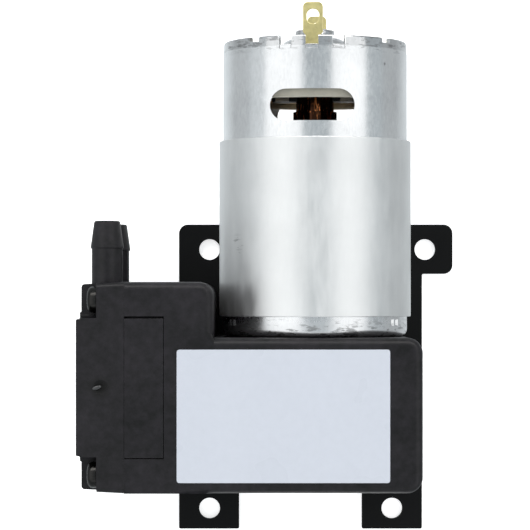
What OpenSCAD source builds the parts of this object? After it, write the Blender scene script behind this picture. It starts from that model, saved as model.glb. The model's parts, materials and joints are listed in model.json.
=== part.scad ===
// Mini diaphragm vacuum pump lying on its mounting bracket.
// A brushed motor turns an eccentric. The rod on the eccentric flexes a rubber diaphragm behind
// a two-valve head that carries the inlet and outlet hose barbs.
// X runs across the pump, Y along the motor shaft towards the terminals, Z up from the bracket.
// The origin is on the bracket's underside, under the motor shaft, midway between its hole rows.

/* [Bracket] */
// Thickness of the bracket plate
plate_t = 1.5; // [1:0.1:3]
// Head joint to the left edge of the plate
plate_inset = 9; // [4:0.1:10.5]
// How far the plate stands out past the housing's right side
plate_side = 2.2; // [1.6:0.1:10]
// Distance between the two rows of mounting holes
hole_rows = 52.5; // [50:0.5:64]
// Diameter of the mounting holes
hole_d = 4.2; // [3.2:0.1:5]
// Left edge of the plate to the centres of the left holes
hole_inset = 6.2; // [5:0.1:8]
// Edge of the lug to the centre of its hole
lug_inset = 5.6; // [4.5:0.1:8]
// Right edge of the right foot to the centre of its hole
foot_inset = 6.1; // [4.5:0.1:7.5]
// Upper hole row to the upper edge of the plate
upper_margin = 5.05; // [4:0.05:8]
// Lower hole row to the end of the feet
lower_margin = 4.15; // [3.5:0.05:8]
// How far the side lug stands out from the plate
lug_reach = 6.2; // [2:0.1:12]
// Height of the side lug along Y
lug_h = 10; // [8:0.1:16]
// Width of each foot
foot_w = 12.2; // [9:0.1:15]
// Length of each foot
foot_len = 12; // [8:0.5:14]
// Corner radius of the plate and its lug
plate_corner = 1.8; // [0.5:0.1:2.5]
// Corner radius of the feet
foot_corner = 0.3; // [0.1:0.1:2.5]

/* [Housing] */
// Middle between the hole rows to the chamber axis, along Y
chamber_y = -0.45; // [-3:0.05:3]
// How much thicker the housing is than the motor can
case_over = 2.7; // [1.9:0.1:10]
// Width of the head and of the tower, along Y
head_w = 39.7; // [38.5:0.1:46]
// Width of the tower between the flux ring and the head
tower_w = 16.855; // [16.855:0.005:25]
// How far the housing's right side stands out past the can
case_side = 2; // [0.8:0.1:8]
// Wall thickness of the housing
case_wall = 2.5; // [1.8:0.1:3]
// Chamber axis to the face that the motor is screwed to
motor_face = 9.35; // [8.4:0.05:14]
// Outline corner radius of the housing
case_corner = 2.9; // [2:0.1:5]
// Rounding of the housing's upper edges
case_edge = 1.5; // [0.5:0.1:2]
// Thickness of the rear cover
cover_t = 2; // [1.2:0.1:3]
// Depth of the step that the rear cover lies in, on each side
cover_step = 1.2; // [0.8:0.1:1.5]

/* [Pump head] */
// Thickness of the head's flange at the screws
flange_t = 5.2; // [3.5:0.1:6]
// Thickness of the head between the screw pockets
head_t = 8.4; // [7.8:0.1:12]
// How far the band across the head stands out
band_rise = 0.65; // [0.3:0.05:2]
// Draft of the head, on each side
head_draft = 0.4; // [0:0.1:0.8]
// Screw pocket size along Y
pocket_y = 6.8; // [6.2:0.1:7.5]
// Screw pocket size along Z
pocket_z = 6.2; // [5.6:0.1:6.8]
// Edge of the head to the screws, along Y
screw_inset_y = 3.35; // [2.7:0.05:3.4]
// Edge of the head to the screws, along Z
screw_inset_z = 3.3; // [2.7:0.05:3.5]

/* [Hose barbs] */
// Distance between the two barbs
barb_pitch = 23; // [18:0.5:25]
// Joint plane to the barb axis
barb_out = 3.6; // [3.55:0.05:3.8]
// Diameter of the shank under the barb
barb_shank_d = 5.85; // [5:0.05:6.4]
// Diameter of the barb at its shoulder
barb_d = 6.25; // [6.1:0.05:7.5]
// Diameter of the barb's tip
barb_tip_d = 5; // [4.4:0.1:6]
// Length of the shank
shank_len = 6.5; // [4:0.1:12]
// Length of the barb above the shank
barb_len = 5.15; // [3:0.05:8]
// Bore through each barb
barb_bore = 3.2; // [2:0.1:3.4]

/* [Chamber and diaphragm] */
// Thickness of the chamber block
block_t = 7.45; // [6.9:0.05:7.6]
// Width of the chamber block, along Y
block_w = 26.7; // [26.5:0.1:27.5]
// Bore of the pumping chamber
chamber_d = 21.5; // [19:0.1:22]
// Outer diameter of the diaphragm
diaphragm_d = 24.8; // [24:0.1:25]
// Thickness of the diaphragm
diaphragm_t = 1.4; // [0.8:0.1:1.6]
// Thickness of the valve plate
valve_plate_t = 1.75; // [1.2:0.05:1.8]
// Diameter of each valve port
port_d = 4.2; // [2:0.1:4.6]
// Thickness of the valve flaps
flap_t = 0.6; // [0.4:0.1:0.8]
// Centre of the head to each valve port
port_off = 6.5; // [5:0.1:7]

/* [Crank and bearing] */
// Offset of the eccentric, half the stroke
crank_e = 2; // [1:0.1:2.2]
// Bore of the ball bearing
bearing_bore = 9; // [8.6:0.1:9.4]
// Outer diameter of the ball bearing
bearing_od = 17; // [16.6:0.1:17.4]
// Width of the ball bearing
bearing_w = 5; // [4.5:0.1:5.5]
// Diameter of the balls
ball_d = 2.4; // [2.2:0.1:2.5]
// Number of balls
ball_count = 8; // [6:1:9]
// Wall of the rod's ring round the bearing
rod_wall = 2; // [1.2:0.1:2.5]
// Thickness of the rod's flange behind the diaphragm
rod_flange_t = 1.8; // [1.2:0.1:2.5]
// Diameter of the rod's flange
rod_flange_d = 14; // [11:0.5:14.5]
// Radius of the counterweight
weight_r = 14; // [10:0.5:15]
// Thickness of the counterweight
weight_t = 5; // [3:0.1:5.5]

/* [Motor] */
// Diameter of the motor can
can_d = 35.8; // [35:0.1:36.2]
// Length of the motor can
can_len = 57; // [56:0.5:66]
// Wall thickness of the can
can_wall = 1; // [0.6:0.05:1.2]
// Thickness of the flux ring
ring_t = 0.72; // [0.5:0.02:0.8]
// Length of the can that the flux ring leaves bare
ring_bare = 23; // [23:0.5:33]
// Motor mounting face to the flux ring
ring_start = 3.9; // [2:0.1:5]
// Width of the vent windows
window_w = 16; // [10:0.5:18]
// Height of the vent windows
window_h = 6; // [4.5:0.1:6.2]
// Open end of the can to the middle of the vent windows
window_back = 13.1; // [12.9:0.05:13.3]
// Turn of the motor's end about its axis, in degrees
motor_twist = -3; // [-8:1:8]
// Diameter of the motor shaft
shaft_d = 3.175; // [3:0.025:3.2]
// Diameter of the bearing boss on the can
boss_d = 13; // [12:0.1:13.4]
// Length of the bearing boss on the can
boss_len = 4.6; // [4:0.1:4.8]
// Thickness of the steel end cap
cap_t = 0.8; // [0.6:0.1:1.2]
// Outside of the can to each solder terminal
terminal_inset = 5.9; // [5.5:0.1:7.4]
// Width of the terminals' solder ends
terminal_w = 3.8; // [3.4:0.1:4.6]
// Length of the terminals above the can
terminal_rise = 6.8; // [5:0.1:10]
// Thickness of the terminals
terminal_t = 0.6; // [0.4:0.05:0.8]
// Distance between the motor's two mounting screws
motor_screw_pitch = 25; // [24:0.5:26]

/* [Armature] */
// Air gap between armature and magnets
air_gap = 0.55; // [0.3:0.05:0.8]
// Thickness of the magnets
magnet_t = 4.1; // [3.5:0.1:4.5]
// How much longer the magnets are than the iron core
magnet_over = 6; // [0:0.5:8]
// Length of the can that the iron core leaves free
core_bare = 31; // [31:0.5:37]
// Number of armature poles
pole_count = 5; // [3:2:7]
// Width of the iron behind each pole shoe
pole_w = 3.6; // [2.5:0.1:4]
// Diameter of the commutator
commutator_d = 7.4; // [6.4:0.1:7.6]
// Open end of the can to the inner end of the commutator
commutator_back = 15.6; // [15.4:0.1:16.2]
// Length of the commutator
commutator_len = 10.2; // [9.8:0.1:10.6]
// Open end of the can to the middle of the brushes
brush_back = 9.3; // [9:0.1:9.6]
// Open end of the can to the inner end of the brush holder's skirt
skirt_back = 11.6; // [10.5:0.1:12]

/* [Label and screws] */
// Width of the blank label
label_w = 40; // [20:1:42]
// Height of the blank label
label_h = 25; // [12:0.5:25]
// Thickness of the label
label_t = 0.15; // [0.1:0.05:0.4]
// Thread diameter of the screws
screw_d = 3; // [2.5:0.1:3]
// Diameter of the screw heads
screw_head_d = 5; // [4.6:0.1:5.2]
// Height of the screw heads
screw_head_h = 1.9; // [1.2:0.1:2]

/* [Clearances] */
// Gap round fixed pieces that fit into one another
fit = 0.05; // [0.02:0.01:0.1]
// Gap under the chamber block, seen as a fine line
seam = 0.12; // [0.05:0.01:0.2]
// Wider gap along the chamber block's upper side
seam_wide = 0.35; // [0.05:0.01:0.5]
// Running clearance of shafts and balls
run_gap = 0.04; // [0.02:0.01:0.08]
// Gap between the flux ring and the tower beside it
tower_gap = 0.7; // [0.2:0.05:1]

/* [Hidden] */
$fn = 64;
over = 1;
hull_fn = 32;
post_fn = 28;
sheet = 0.01;

// Levels and planes
can_r = can_d / 2;
case_t = can_d + case_over;
axis_z = plate_t + case_t / 2;
case_top = plate_t + case_t;
case_bottom_y = chamber_y - head_w / 2;
tower_top_y = chamber_y + head_w / 2;
motor_y = chamber_y + motor_face;
ring_r = can_r + fit / 2 + ring_t;
tower_right = -(ring_r + tower_gap);
case_left = tower_w - tower_right;
case_right = can_r + case_side;
plate_left = case_left - plate_inset;
plate_right = case_right + plate_side;
cavity_left = -(case_left - block_t - 2.25);
cavity_right = case_right - case_wall;
cavity_low_y = case_bottom_y + case_wall;
cavity_high_y = motor_y - 3;
tower_cavity_y = tower_top_y - case_wall;
tower_cavity_x = tower_right - case_wall;
cavity_floor = plate_t + cover_t;

// Mounting holes
row_y = hole_rows / 2;
left_x = -(plate_left - hole_inset);
upper_right_x = plate_right + lug_reach - lug_inset;
foot_right_x = plate_right - foot_inset;
plate_top_y = row_y + upper_margin;
foot_end_y = -(row_y + lower_margin);
notch_y = foot_end_y + foot_len;

// Screws through the bracket into the housing
boss_inset = 2.8;
boss_r = 3.5;
boss_h = 8.5;
screw_r = screw_d / 2;
hole_r = screw_r + fit;
countersink_r = 2.9;
bracket_screw_len = 8;
bracket_screw_xy = [
    [cavity_left + boss_inset, cavity_low_y + boss_inset],
    [cavity_right - boss_inset, cavity_low_y + boss_inset],
    [cavity_right - boss_inset, cavity_high_y - boss_inset],
    [cavity_left + boss_inset, tower_cavity_y - boss_inset]
];

// Head screws, seen along the chamber axis
head_screw_x = case_t / 2 - screw_inset_z;
head_screw_y = head_w / 2 - screw_inset_y;
head_screw_len = 12;

// Diaphragm and what clamps its middle
roll_outer = chamber_d / 2 - 0.95;
roll_inner = rod_flange_d / 2 + 0.1;
clamp_hole_r = screw_r + 0.1;
centre_z = -(block_t + crank_e);
clamp_washer_d = 12;
clamp_washer_t = 1;
clamp_head_d = 5.5;
clamp_head_h = 1.2;
clamp_screw_len = 7.5;
rod_opening_r = roll_outer + 0.1;

// Valves
valve_x = 14.2;
valve_y = 9.4;
seal_x = valve_x + 2.2;
seal_y = valve_y + 2.2;
seal_t = 0.8;
flap_r = port_d / 2 + 1.1;
flap_gap = 0.05;
hinge_y = flap_r + 1.3;
hinge_r = 0.35;
hinge_depth = 0.15;
hinge_len = 4;
chamber_low = 1;
chamber_high = 13.3;
chamber_half_y = 8;
chamber_depth = 6.6;

// Crank
journal_r = bearing_bore / 2;
race_out_r = bearing_od / 2;
pitch_r = (journal_r + race_out_r) / 2;
ball_r = ball_d / 2;
groove_r = ball_r + 2 * run_gap;
inner_race_r = pitch_r - 0.75;
outer_race_r = pitch_r + 0.75;
shoulder_r = journal_r + 0.9;
hub_r = 6;
hub_end = -(bearing_w / 2 + 7.3);
shaft_r = shaft_d / 2;
grub_z = hub_end + 2.5;
grub_r = 1.5;
ball_phase = 10;
rod_ring_r = race_out_r + rod_wall;
rod_flange_x = cavity_left - 2.25 + crank_e;
rod_web_half = 5;
rod_rib_t = 1.4;

// Motor, along its own axis from the mounting face
can_in = can_r - can_wall;
can_corner = 1.5;
boss_r_out = boss_d / 2;
boss_floor = 0.6;
bush_r = boss_r_out - 1;
cap_top = can_len - 1.7;
cap_low = cap_top - cap_t;
holder_top = cap_low - fit;
holder_t = 3.2;
skirt_low = can_len - skirt_back;
skirt_out = can_in - 0.15;
skirt_t = 1.3;
rear_cup_r = 3.2;
rear_bush_r = rear_cup_r - fit;
rear_top = can_len + 2.6;
ring_len = can_len - ring_bare;
core_start = 8;
core_len = can_len - core_bare;
magnet_len = core_len + magnet_over;
core_r = can_in - fit - magnet_t - air_gap;
magnet_span = 116;
magnet_start = core_start + core_len / 2 - magnet_len / 2;
insulator_t = 0.3;
winding_low = core_start - 4.4;
winding_high = core_start + core_len + 5.7;
comm_tang = can_len - commutator_back;
comm_low = comm_tang + 2.2;
comm_high = comm_tang + commutator_len;
comm_r = commutator_d / 2;
comm_sleeve_r = 2.4;
tang_r = comm_r + 0.55;
brush_mid = can_len - brush_back;
brush_len = 4.5;
brush_w = 3;
brush_h = 4;
neck_w = 3;
terminal_off = can_r - terminal_inset;
terminal_foot = brush_mid - 1.2;
terminal_neck_top = can_len + 0.9;
terminal_top = can_len + terminal_rise;
solder_hole = [2.4, 2.9];
window_mid = can_len - window_back;
tab_w = 2.4;
tab_drop = 2.5;
tab_step = 16.5;
nick_w = 1.8;
nick_drop = 0.85;

// Rounded rectangle from corner a to corner b
module rounded_rect(a, b, r) {
    translate([a[0] + r, a[1]]) square([b[0] - a[0] - 2 * r, b[1] - a[1]]);
    translate([a[0], a[1] + r]) square([b[0] - a[0], b[1] - a[1] - 2 * r]);
    for (x = [a[0] + r, b[0] - r], y = [a[1] + r, b[1] - r])
        translate([x, y]) circle(r);
}

// Slot with round ends, centred, w by h
module obround(w, h) {
    square([w - h, h], center = true);
    for (s = [-1, 1]) translate([s * (w - h) / 2, 0]) circle(d = h);
}

// Upright post with a rounded upper edge
module soft_post(corner, edge, h) {
    cylinder(r = corner, h = h - edge);
    rotate_extrude() {
        translate([0, h - edge]) square([corner - edge, edge]);
        intersection() {
            translate([corner - edge, h - edge]) circle(edge);
            translate([corner - edge, h - edge]) square(edge);
        }
    }
}

// Box with rounded outline corners and a rounded upper edge
module soft_box(a, b, z_low, z_high, corner, edge) {
    hull() for (x = [a[0] + corner, b[0] - corner], y = [a[1] + corner, b[1] - corner])
        translate([x, y, z_low]) soft_post(corner, edge, z_high - z_low, $fn = post_fn);
}

// Frame on the chamber axis: z = 0 is the head joint, +z points out of the head, x points up
module at_joint() {
    translate([-case_left, chamber_y, axis_z]) rotate([0, -90, 0]) children();
}

// Frame on the motor shaft: z = 0 is the chamber plane, -y points up
module at_crank() {
    translate([0, chamber_y, axis_z]) rotate([-90, 0, 0]) children();
}

// Frame on the motor shaft: z = 0 is the can's mounting face, -y points up
module at_motor() {
    translate([0, motor_y, axis_z]) rotate([-90, 0, 0]) children();
}

// The same frame, turned as the motor's end is turned
module at_motor_end() {
    at_motor() rotate([0, 0, motor_twist]) children();
}

module tube(r_out, r_in, z_low, z_high) {
    translate([0, 0, z_low]) difference() {
        cylinder(r = r_out, h = z_high - z_low);
        translate([0, 0, -over]) cylinder(r = r_in, h = z_high - z_low + 2 * over);
    }
}

// Pan head screw pointing to -z, with its head above z = 0 and a cross recess
module pan_screw(length) {
    recess_w = 0.8;
    recess_l = 2.8;
    difference() {
        union() {
            translate([0, 0, -length]) cylinder(r = screw_r, h = length);
            cylinder(d = screw_head_d, h = screw_head_h * 0.6);
            translate([0, 0, screw_head_h * 0.6])
                cylinder(d1 = screw_head_d, d2 = screw_head_d * 0.72, h = screw_head_h * 0.4);
        }
        for (a = [0, 90]) rotate([0, 0, a])
            translate([-recess_l / 2, -recess_w / 2, screw_head_h - 1]) cube([recess_l, recess_w, 2]);
    }
}

module mounting_bracket() {
    foot_left_x = -plate_left + foot_w;
    foot_inner_x = plate_right - foot_w;
    color([0.11, 0.11, 0.12]) difference() {
        linear_extrude(plate_t) {
            rounded_rect([-plate_left, notch_y], [plate_right, plate_top_y], plate_corner);
            rounded_rect([0, plate_top_y - lug_h], [plate_right + lug_reach, plate_top_y], plate_corner);
            rounded_rect([-plate_left, foot_end_y], [foot_left_x, 0], foot_corner);
            rounded_rect([foot_inner_x, foot_end_y], [plate_right, 0], foot_corner);
        }
        for (p = [[left_x, row_y], [upper_right_x, row_y], [left_x, -row_y], [foot_right_x, -row_y]])
            translate([p[0], p[1], -over]) cylinder(d = hole_d, h = plate_t + 2 * over);
        for (p = bracket_screw_xy) translate([p[0], p[1], 0]) {
            translate([0, 0, -over]) cylinder(r = hole_r, h = plate_t + 2 * over);
            translate([0, 0, -fit])
                cylinder(r1 = countersink_r + fit, r2 = screw_r + fit, h = countersink_r - screw_r);
        }
    }
}

module bracket_screws() {
    color([0.2, 0.2, 0.22]) for (p = bracket_screw_xy) translate([p[0], p[1], 0]) difference() {
        union() {
            cylinder(r = screw_r, h = bracket_screw_len);
            cylinder(r1 = countersink_r, r2 = screw_r, h = countersink_r - screw_r);
        }
        for (a = [0, 90]) rotate([0, 0, a]) translate([-1.4, -0.4, -over]) cube([2.8, 0.8, over + 0.9]);
    }
}

// Outline of the step that the rear cover lies in, grown by g
module cover_outline(g) {
    low = [cavity_left - cover_step - g, cavity_low_y - cover_step - g];
    rounded_rect(low, [cavity_right + cover_step + g, cavity_high_y + cover_step + g], 2);
    rounded_rect(low, [tower_cavity_x + cover_step + g, tower_cavity_y + cover_step + g], 2);
}

module rear_cover() {
    color([0.17, 0.17, 0.18]) difference() {
        translate([0, 0, plate_t]) linear_extrude(cover_t - fit) cover_outline(-fit);
        for (p = bracket_screw_xy) translate([p[0], p[1], 0]) cylinder(r = hole_r, h = cavity_floor + over);
    }
}

module crankcase() {
    joint_x = -case_left;
    overhang = 2 * case_corner;
    inner_r = 1;
    slot_half = block_w / 2;
    color([0.2, 0.2, 0.21]) difference() {
        union() {
            difference() {
                union() {
                    soft_box([joint_x - overhang, case_bottom_y], [case_right, motor_y],
                             plate_t, case_top, case_corner, case_edge);
                    soft_box([joint_x - overhang, case_bottom_y], [tower_right, tower_top_y],
                             plate_t, case_top, case_corner, case_edge);
                }
                translate([0, 0, cavity_floor - over])
                    linear_extrude(case_top - case_wall - cavity_floor + over) {
                        rounded_rect([cavity_left, cavity_low_y], [cavity_right, cavity_high_y], inner_r);
                        rounded_rect([cavity_left, cavity_low_y], [tower_cavity_x, tower_cavity_y], inner_r);
                    }
            }
            for (p = bracket_screw_xy)
                translate([p[0], p[1], cavity_floor]) cylinder(r = boss_r, h = boss_h);
        }
        // Everything beyond the head joint
        translate([joint_x - overhang - over, case_bottom_y - over, plate_t - over])
            cube([overhang + over, head_w + 2 * over, case_t + 2 * over]);
        // Step for the rear cover
        translate([0, 0, plate_t - over]) linear_extrude(cover_t + over) cover_outline(0);
        for (p = bracket_screw_xy) translate([p[0], p[1], 0])
            cylinder(r = hole_r, h = plate_t + bracket_screw_len + over / 2);
        // Slot for the chamber block, and the opening that the rod works through
        translate([joint_x - over, chamber_y - slot_half, plate_t - over])
            cube([block_t + over, block_w, case_t + 2 * over]);
        at_joint() {
            translate([0, 0, -block_t - case_left / 4])
                cylinder(r = rod_opening_r, h = case_left / 4 + over);
            for (x = [-head_screw_x, head_screw_x], y = [-head_screw_y, head_screw_y])
                translate([x, y, -head_screw_len + flange_t - over])
                    cylinder(r = hole_r, h = head_screw_len);
        }
        // Seat of the motor boss and its two screws
        at_motor() {
            translate([0, 0, -motor_face]) cylinder(r = boss_r_out + fit, h = motor_face + over);
            for (y = [-1, 1]) translate([0, y * motor_screw_pitch / 2, -motor_face])
                cylinder(r = hole_r, h = motor_face + over);
        }
    }
}

module chamber_block() {
    color([0.22, 0.22, 0.23]) at_joint() difference() {
        translate([-case_t / 2, seam - block_w / 2, -block_t + fit])
            cube([case_t, block_w - seam - seam_wide, block_t - fit]);
        translate([0, 0, -block_t]) cylinder(d = chamber_d, h = block_t + over);
        translate([0, 0, -block_t - over]) cylinder(d = diaphragm_d + 2 * fit, h = diaphragm_t + over + fit);
    }
}

// Rubber disc at the bottom of its stroke: clamped rim, sloping roll, clamped middle
module diaphragm() {
    rim_low = -block_t;
    rim_r = diaphragm_d / 2;
    color([0.12, 0.12, 0.13]) at_joint() rotate_extrude() polygon([
        [clamp_hole_r, centre_z], [roll_inner, centre_z], [roll_outer, rim_low], [rim_r, rim_low],
        [rim_r, rim_low + diaphragm_t], [roll_outer, rim_low + diaphragm_t],
        [roll_inner, centre_z + diaphragm_t], [clamp_hole_r, centre_z + diaphragm_t]
    ]);
}

module diaphragm_washer() {
    color([0.7, 0.7, 0.72]) at_joint()
        translate([0, 0, centre_z + diaphragm_t]) tube(clamp_washer_d / 2, clamp_hole_r, 0, clamp_washer_t);
}

module diaphragm_screw() {
    head_z = centre_z + diaphragm_t + clamp_washer_t;
    color([0.75, 0.75, 0.77]) at_joint() difference() {
        union() {
            translate([0, 0, head_z]) cylinder(d = clamp_head_d, h = clamp_head_h);
            translate([0, 0, head_z - clamp_screw_len]) cylinder(r = screw_r, h = clamp_screw_len);
        }
        for (a = [0, 90]) rotate([0, 0, a])
            translate([-1.3, -0.4, head_z + clamp_head_h - 0.7]) cube([2.6, 0.8, over]);
    }
}

// Rubber seal that lies in a groove round the valve plate
module seal_outline(out_x, out_y, g) {
    difference() {
        rounded_rect([-out_x - g, -out_y - g], [out_x + g, out_y + g], 1.8);
        rounded_rect([-out_x + 1.2 + g, -out_y + 1.2 + g], [out_x - 1.2 - g, out_y - 1.2 - g], 0.9);
    }
}

module head_seal() {
    color([0.75, 0.3, 0.2]) at_joint() linear_extrude(seal_t) seal_outline(seal_x, seal_y, 0);
}

// Plate with one port for each valve, and a groove for the root of each flap
module valve_plate() {
    color([0.85, 0.85, 0.82]) at_joint() difference() {
        translate([-valve_x, -valve_y, 0]) cube([2 * valve_x, 2 * valve_y, valve_plate_t]);
        for (s = [-1, 1]) {
            translate([s * port_off, 0, -over]) cylinder(d = port_d, h = valve_plate_t + 2 * over);
            translate([s * port_off - hinge_len / 2 - fit, hinge_y,
                       s > 0 ? hinge_depth : valve_plate_t - hinge_depth])
                rotate([0, 90, 0]) cylinder(r = hinge_r + 2 * run_gap, h = hinge_len + 2 * fit);
        }
    }
}

// One rubber flap lying above z = 0, with its root bead in the groove below
module flap() {
    translate([0, 0, flap_gap]) linear_extrude(flap_t) {
        circle(r = flap_r);
        translate([-hinge_len / 2, 0]) square([hinge_len, hinge_y]);
    }
    translate([-hinge_len / 2, hinge_y, -hinge_depth]) rotate([0, 90, 0])
        cylinder(r = hinge_r, h = hinge_len);
}

module inlet_flap() {
    color([0.15, 0.15, 0.16]) at_joint() translate([port_off, 0, 0]) mirror([0, 0, 1]) flap();
}

module outlet_flap() {
    color([0.15, 0.15, 0.16]) at_joint() translate([-port_off, 0, valve_plate_t]) flap();
}

// Hose barb standing along +z, with its root sunk into the head
module barb() {
    root = 1;
    tip_round = 0.3;
    rotate_extrude() polygon([
        [0, -root], [barb_shank_d / 2, -root], [barb_shank_d / 2, shank_len], [barb_d / 2, shank_len],
        [barb_d / 2, shank_len + tip_round], [barb_tip_d / 2, shank_len + barb_len - tip_round],
        [barb_tip_d / 2 - tip_round, shank_len + barb_len], [0, shank_len + barb_len]
    ]);
}

module pump_head() {
    half_x = case_t / 2;
    half_y = head_w / 2;
    band_y = half_y - pocket_y - 0.2;
    head_corner = 1;
    head_edge = 0.6;
    pocket_corner = 1.2;
    barb_spots = [-barb_pitch / 2, barb_pitch / 2];
    color([0.2, 0.2, 0.21]) at_joint() difference() {
        union() {
            difference() {
                union() {
                    hull() {
                        linear_extrude(sheet)
                            rounded_rect([-half_x, -half_y], [half_x, half_y], head_corner, $fn = hull_fn);
                        for (i = [0:3])
                            let (t = 30 * i, in = head_draft + head_edge * (1 - cos(t)))
                                translate([0, 0, head_t - head_edge * (1 - sin(t)) - sheet])
                                    linear_extrude(sheet)
                                        rounded_rect([in - half_x, in - half_y], [half_x - in, half_y - in],
                                                     head_corner, $fn = hull_fn);
                    }
                    hull() {
                        translate([-half_x + 0.4, -band_y, 0]) cube([case_t - 0.8, 2 * band_y, head_t]);
                        translate([-half_x + 0.6, -band_y + 0.2, 0])
                            cube([case_t - 1.2, 2 * band_y - 0.4, head_t + band_rise]);
                    }
                }
                // Pockets that leave the screw heads open at the four corners
                for (x = [-1, 1], y = [-1, 1]) translate([x * half_x, y * half_y, flange_t])
                    linear_extrude(head_t + over)
                        rounded_rect([-pocket_z, -pocket_y], [pocket_z, pocket_y], pocket_corner);
            }
            for (x = barb_spots) translate([x, half_y, barb_out]) rotate([-90, 0, 0]) barb();
        }
        for (x = [-head_screw_x, head_screw_x], y = [-head_screw_y, head_screw_y])
            translate([x, y, -over]) cylinder(r = hole_r + fit, h = flange_t + 2 * over);
        // Seat of the valve plate, groove of the seal, and the two air chambers
        translate([-valve_x - fit, -valve_y - fit, -over])
            cube([2 * (valve_x + fit), 2 * (valve_y + fit), valve_plate_t + fit + over]);
        translate([0, 0, -over]) linear_extrude(seal_t + fit + over) seal_outline(seal_x, seal_y, fit);
        for (s = [-1, 1]) translate([s * (chamber_low + chamber_high) / 2, 0, 0])
            linear_extrude(chamber_depth)
                rounded_rect([(chamber_low - chamber_high) / 2, -chamber_half_y],
                             [(chamber_high - chamber_low) / 2, chamber_half_y], 1.5);
        for (x = barb_spots) translate([x, 0, barb_out]) rotate([-90, 0, 0])
            cylinder(d = barb_bore, h = half_y + shank_len + barb_len + over);
        // Shallow dimple of the moulding gate, in the upper face
        translate([half_x, 0, flange_t]) rotate([0, 90, 0]) cylinder(d = 2.4, h = 0.8, center = true);
    }
}

module head_screws() {
    color([0.62, 0.62, 0.64]) at_joint()
        for (x = [-head_screw_x, head_screw_x], y = [-head_screw_y, head_screw_y])
            translate([x, y, flange_t]) pan_screw(head_screw_len - over / 2);
}

module rating_label() {
    label_right = case_right - case_edge - 4.7;
    label_low = case_bottom_y + 2;
    color([0.83, 0.85, 0.9]) translate([0, 0, case_top]) linear_extrude(label_t)
        rounded_rect([label_right - label_w, label_low], [label_right, label_low + label_h], 0.5);
}

// Steel can: drawn cup with a bearing boss, two vent windows and a notched rim
module motor_can() {
    dimple_turn = 58;
    dimple_r = 0.9;
    color([0.75, 0.76, 0.78]) at_motor() difference() {
        union() {
            rotate_extrude() difference() {
                square([can_r, can_len]);
                translate([can_r - can_corner, 0]) difference() {
                    translate([0, -over]) square([can_corner + over, can_corner + over]);
                    translate([0, can_corner]) circle(can_corner);
                }
            }
            translate([0, 0, -boss_len]) cylinder(r = boss_r_out, h = boss_len + over);
        }
        translate([0, 0, can_wall]) cylinder(r = can_in, h = can_len);
        translate([0, 0, boss_floor - boss_len]) cylinder(r = bush_r + fit, h = boss_len + can_wall);
        translate([0, 0, -boss_len - over]) cylinder(r = shaft_r + 0.6, h = 2 * boss_len);
        for (y = [-1, 1]) translate([0, y * motor_screw_pitch / 2, -over])
            cylinder(r = hole_r, h = can_wall + 2 * over);
        for (s = [-1, 1], t = [0, 180]) rotate([0, 0, s * dimple_turn + t])
            translate([0, can_r + dimple_r / 2, ring_start - 1.3]) sphere(dimple_r);
        rotate([0, 0, motor_twist]) {
            translate([0, 0, window_mid]) rotate([90, 0, 0])
                linear_extrude(3 * can_r, center = true) obround(window_w, window_h);
            for (t = [-tab_step, 0, tab_step], u = [0, 180]) rotate([0, 0, t + u])
                translate([-tab_w / 2, can_in - over, can_len - tab_drop])
                    cube([tab_w, can_wall + 2 * over, over + tab_drop]);
            for (t = [-38.5, 51.5, 141.5, 231.5]) rotate([0, 0, t])
                translate([-nick_w / 2, can_in - over, can_len - nick_drop])
                    cube([nick_w, can_wall + 2 * over, over + nick_drop]);
        }
    }
}

// Rolled steel sleeve with its seam on the bracket side
module flux_ring() {
    seam_w = 0.4;
    color([0.8, 0.82, 0.84]) at_motor() translate([0, 0, ring_start]) difference() {
        tube(ring_r, can_r + fit / 2, 0, ring_len);
        translate([-seam_w / 2, 0, -over]) cube([seam_w, can_r + ring_t + over, ring_len + 2 * over]);
    }
}

// Sector of a ring, centred on +x, up to half a turn wide
module ring_sector(r_out, r_in, span) {
    difference() {
        circle(r_out);
        circle(r_in);
        rotate([0, 0, span / 2]) translate([-2 * r_out, 0]) square([4 * r_out, 2 * r_out]);
        rotate([0, 0, -span / 2]) translate([-2 * r_out, -2 * r_out]) square([4 * r_out, 2 * r_out]);
    }
}

module magnets() {
    out_r = can_in - fit;
    color([0.25, 0.25, 0.27]) at_motor_end() translate([0, 0, magnet_start]) linear_extrude(magnet_len)
        for (t = [0, 180]) rotate([0, 0, t]) ring_sector(out_r, out_r - magnet_t, magnet_span);
}

// Two bent steel springs that wedge the magnets apart
module magnet_clips() {
    clip_t = 0.6;
    clip_len = magnet_len - 4;
    out_r = can_in - fit;
    gap_half = 90 - magnet_span / 2;
    color([0.6, 0.6, 0.62]) at_motor_end() translate([0, 0, magnet_start + 2]) linear_extrude(clip_len)
        for (t = [90, 270]) rotate([0, 0, t]) ring_sector(out_r, out_r - clip_t, 2 * gap_half - 2);
}

module front_bearing() {
    color([0.72, 0.55, 0.32]) at_motor()
        tube(bush_r, shaft_r + run_gap, boss_floor - boss_len + fit, can_wall);
}

module rear_bearing() {
    color([0.72, 0.55, 0.32]) at_motor()
        tube(rear_bush_r, shaft_r + run_gap, cap_top - 0.8, rear_top - 0.6 - fit);
}

module motor_screws() {
    seat = motor_y - cavity_high_y;
    color([0.6, 0.6, 0.62]) at_motor() for (y = [-1, 1]) translate([0, y * motor_screw_pitch / 2, -seat])
        mirror([0, 0, 1]) pan_screw(seat + can_wall + 0.8);
}

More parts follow.
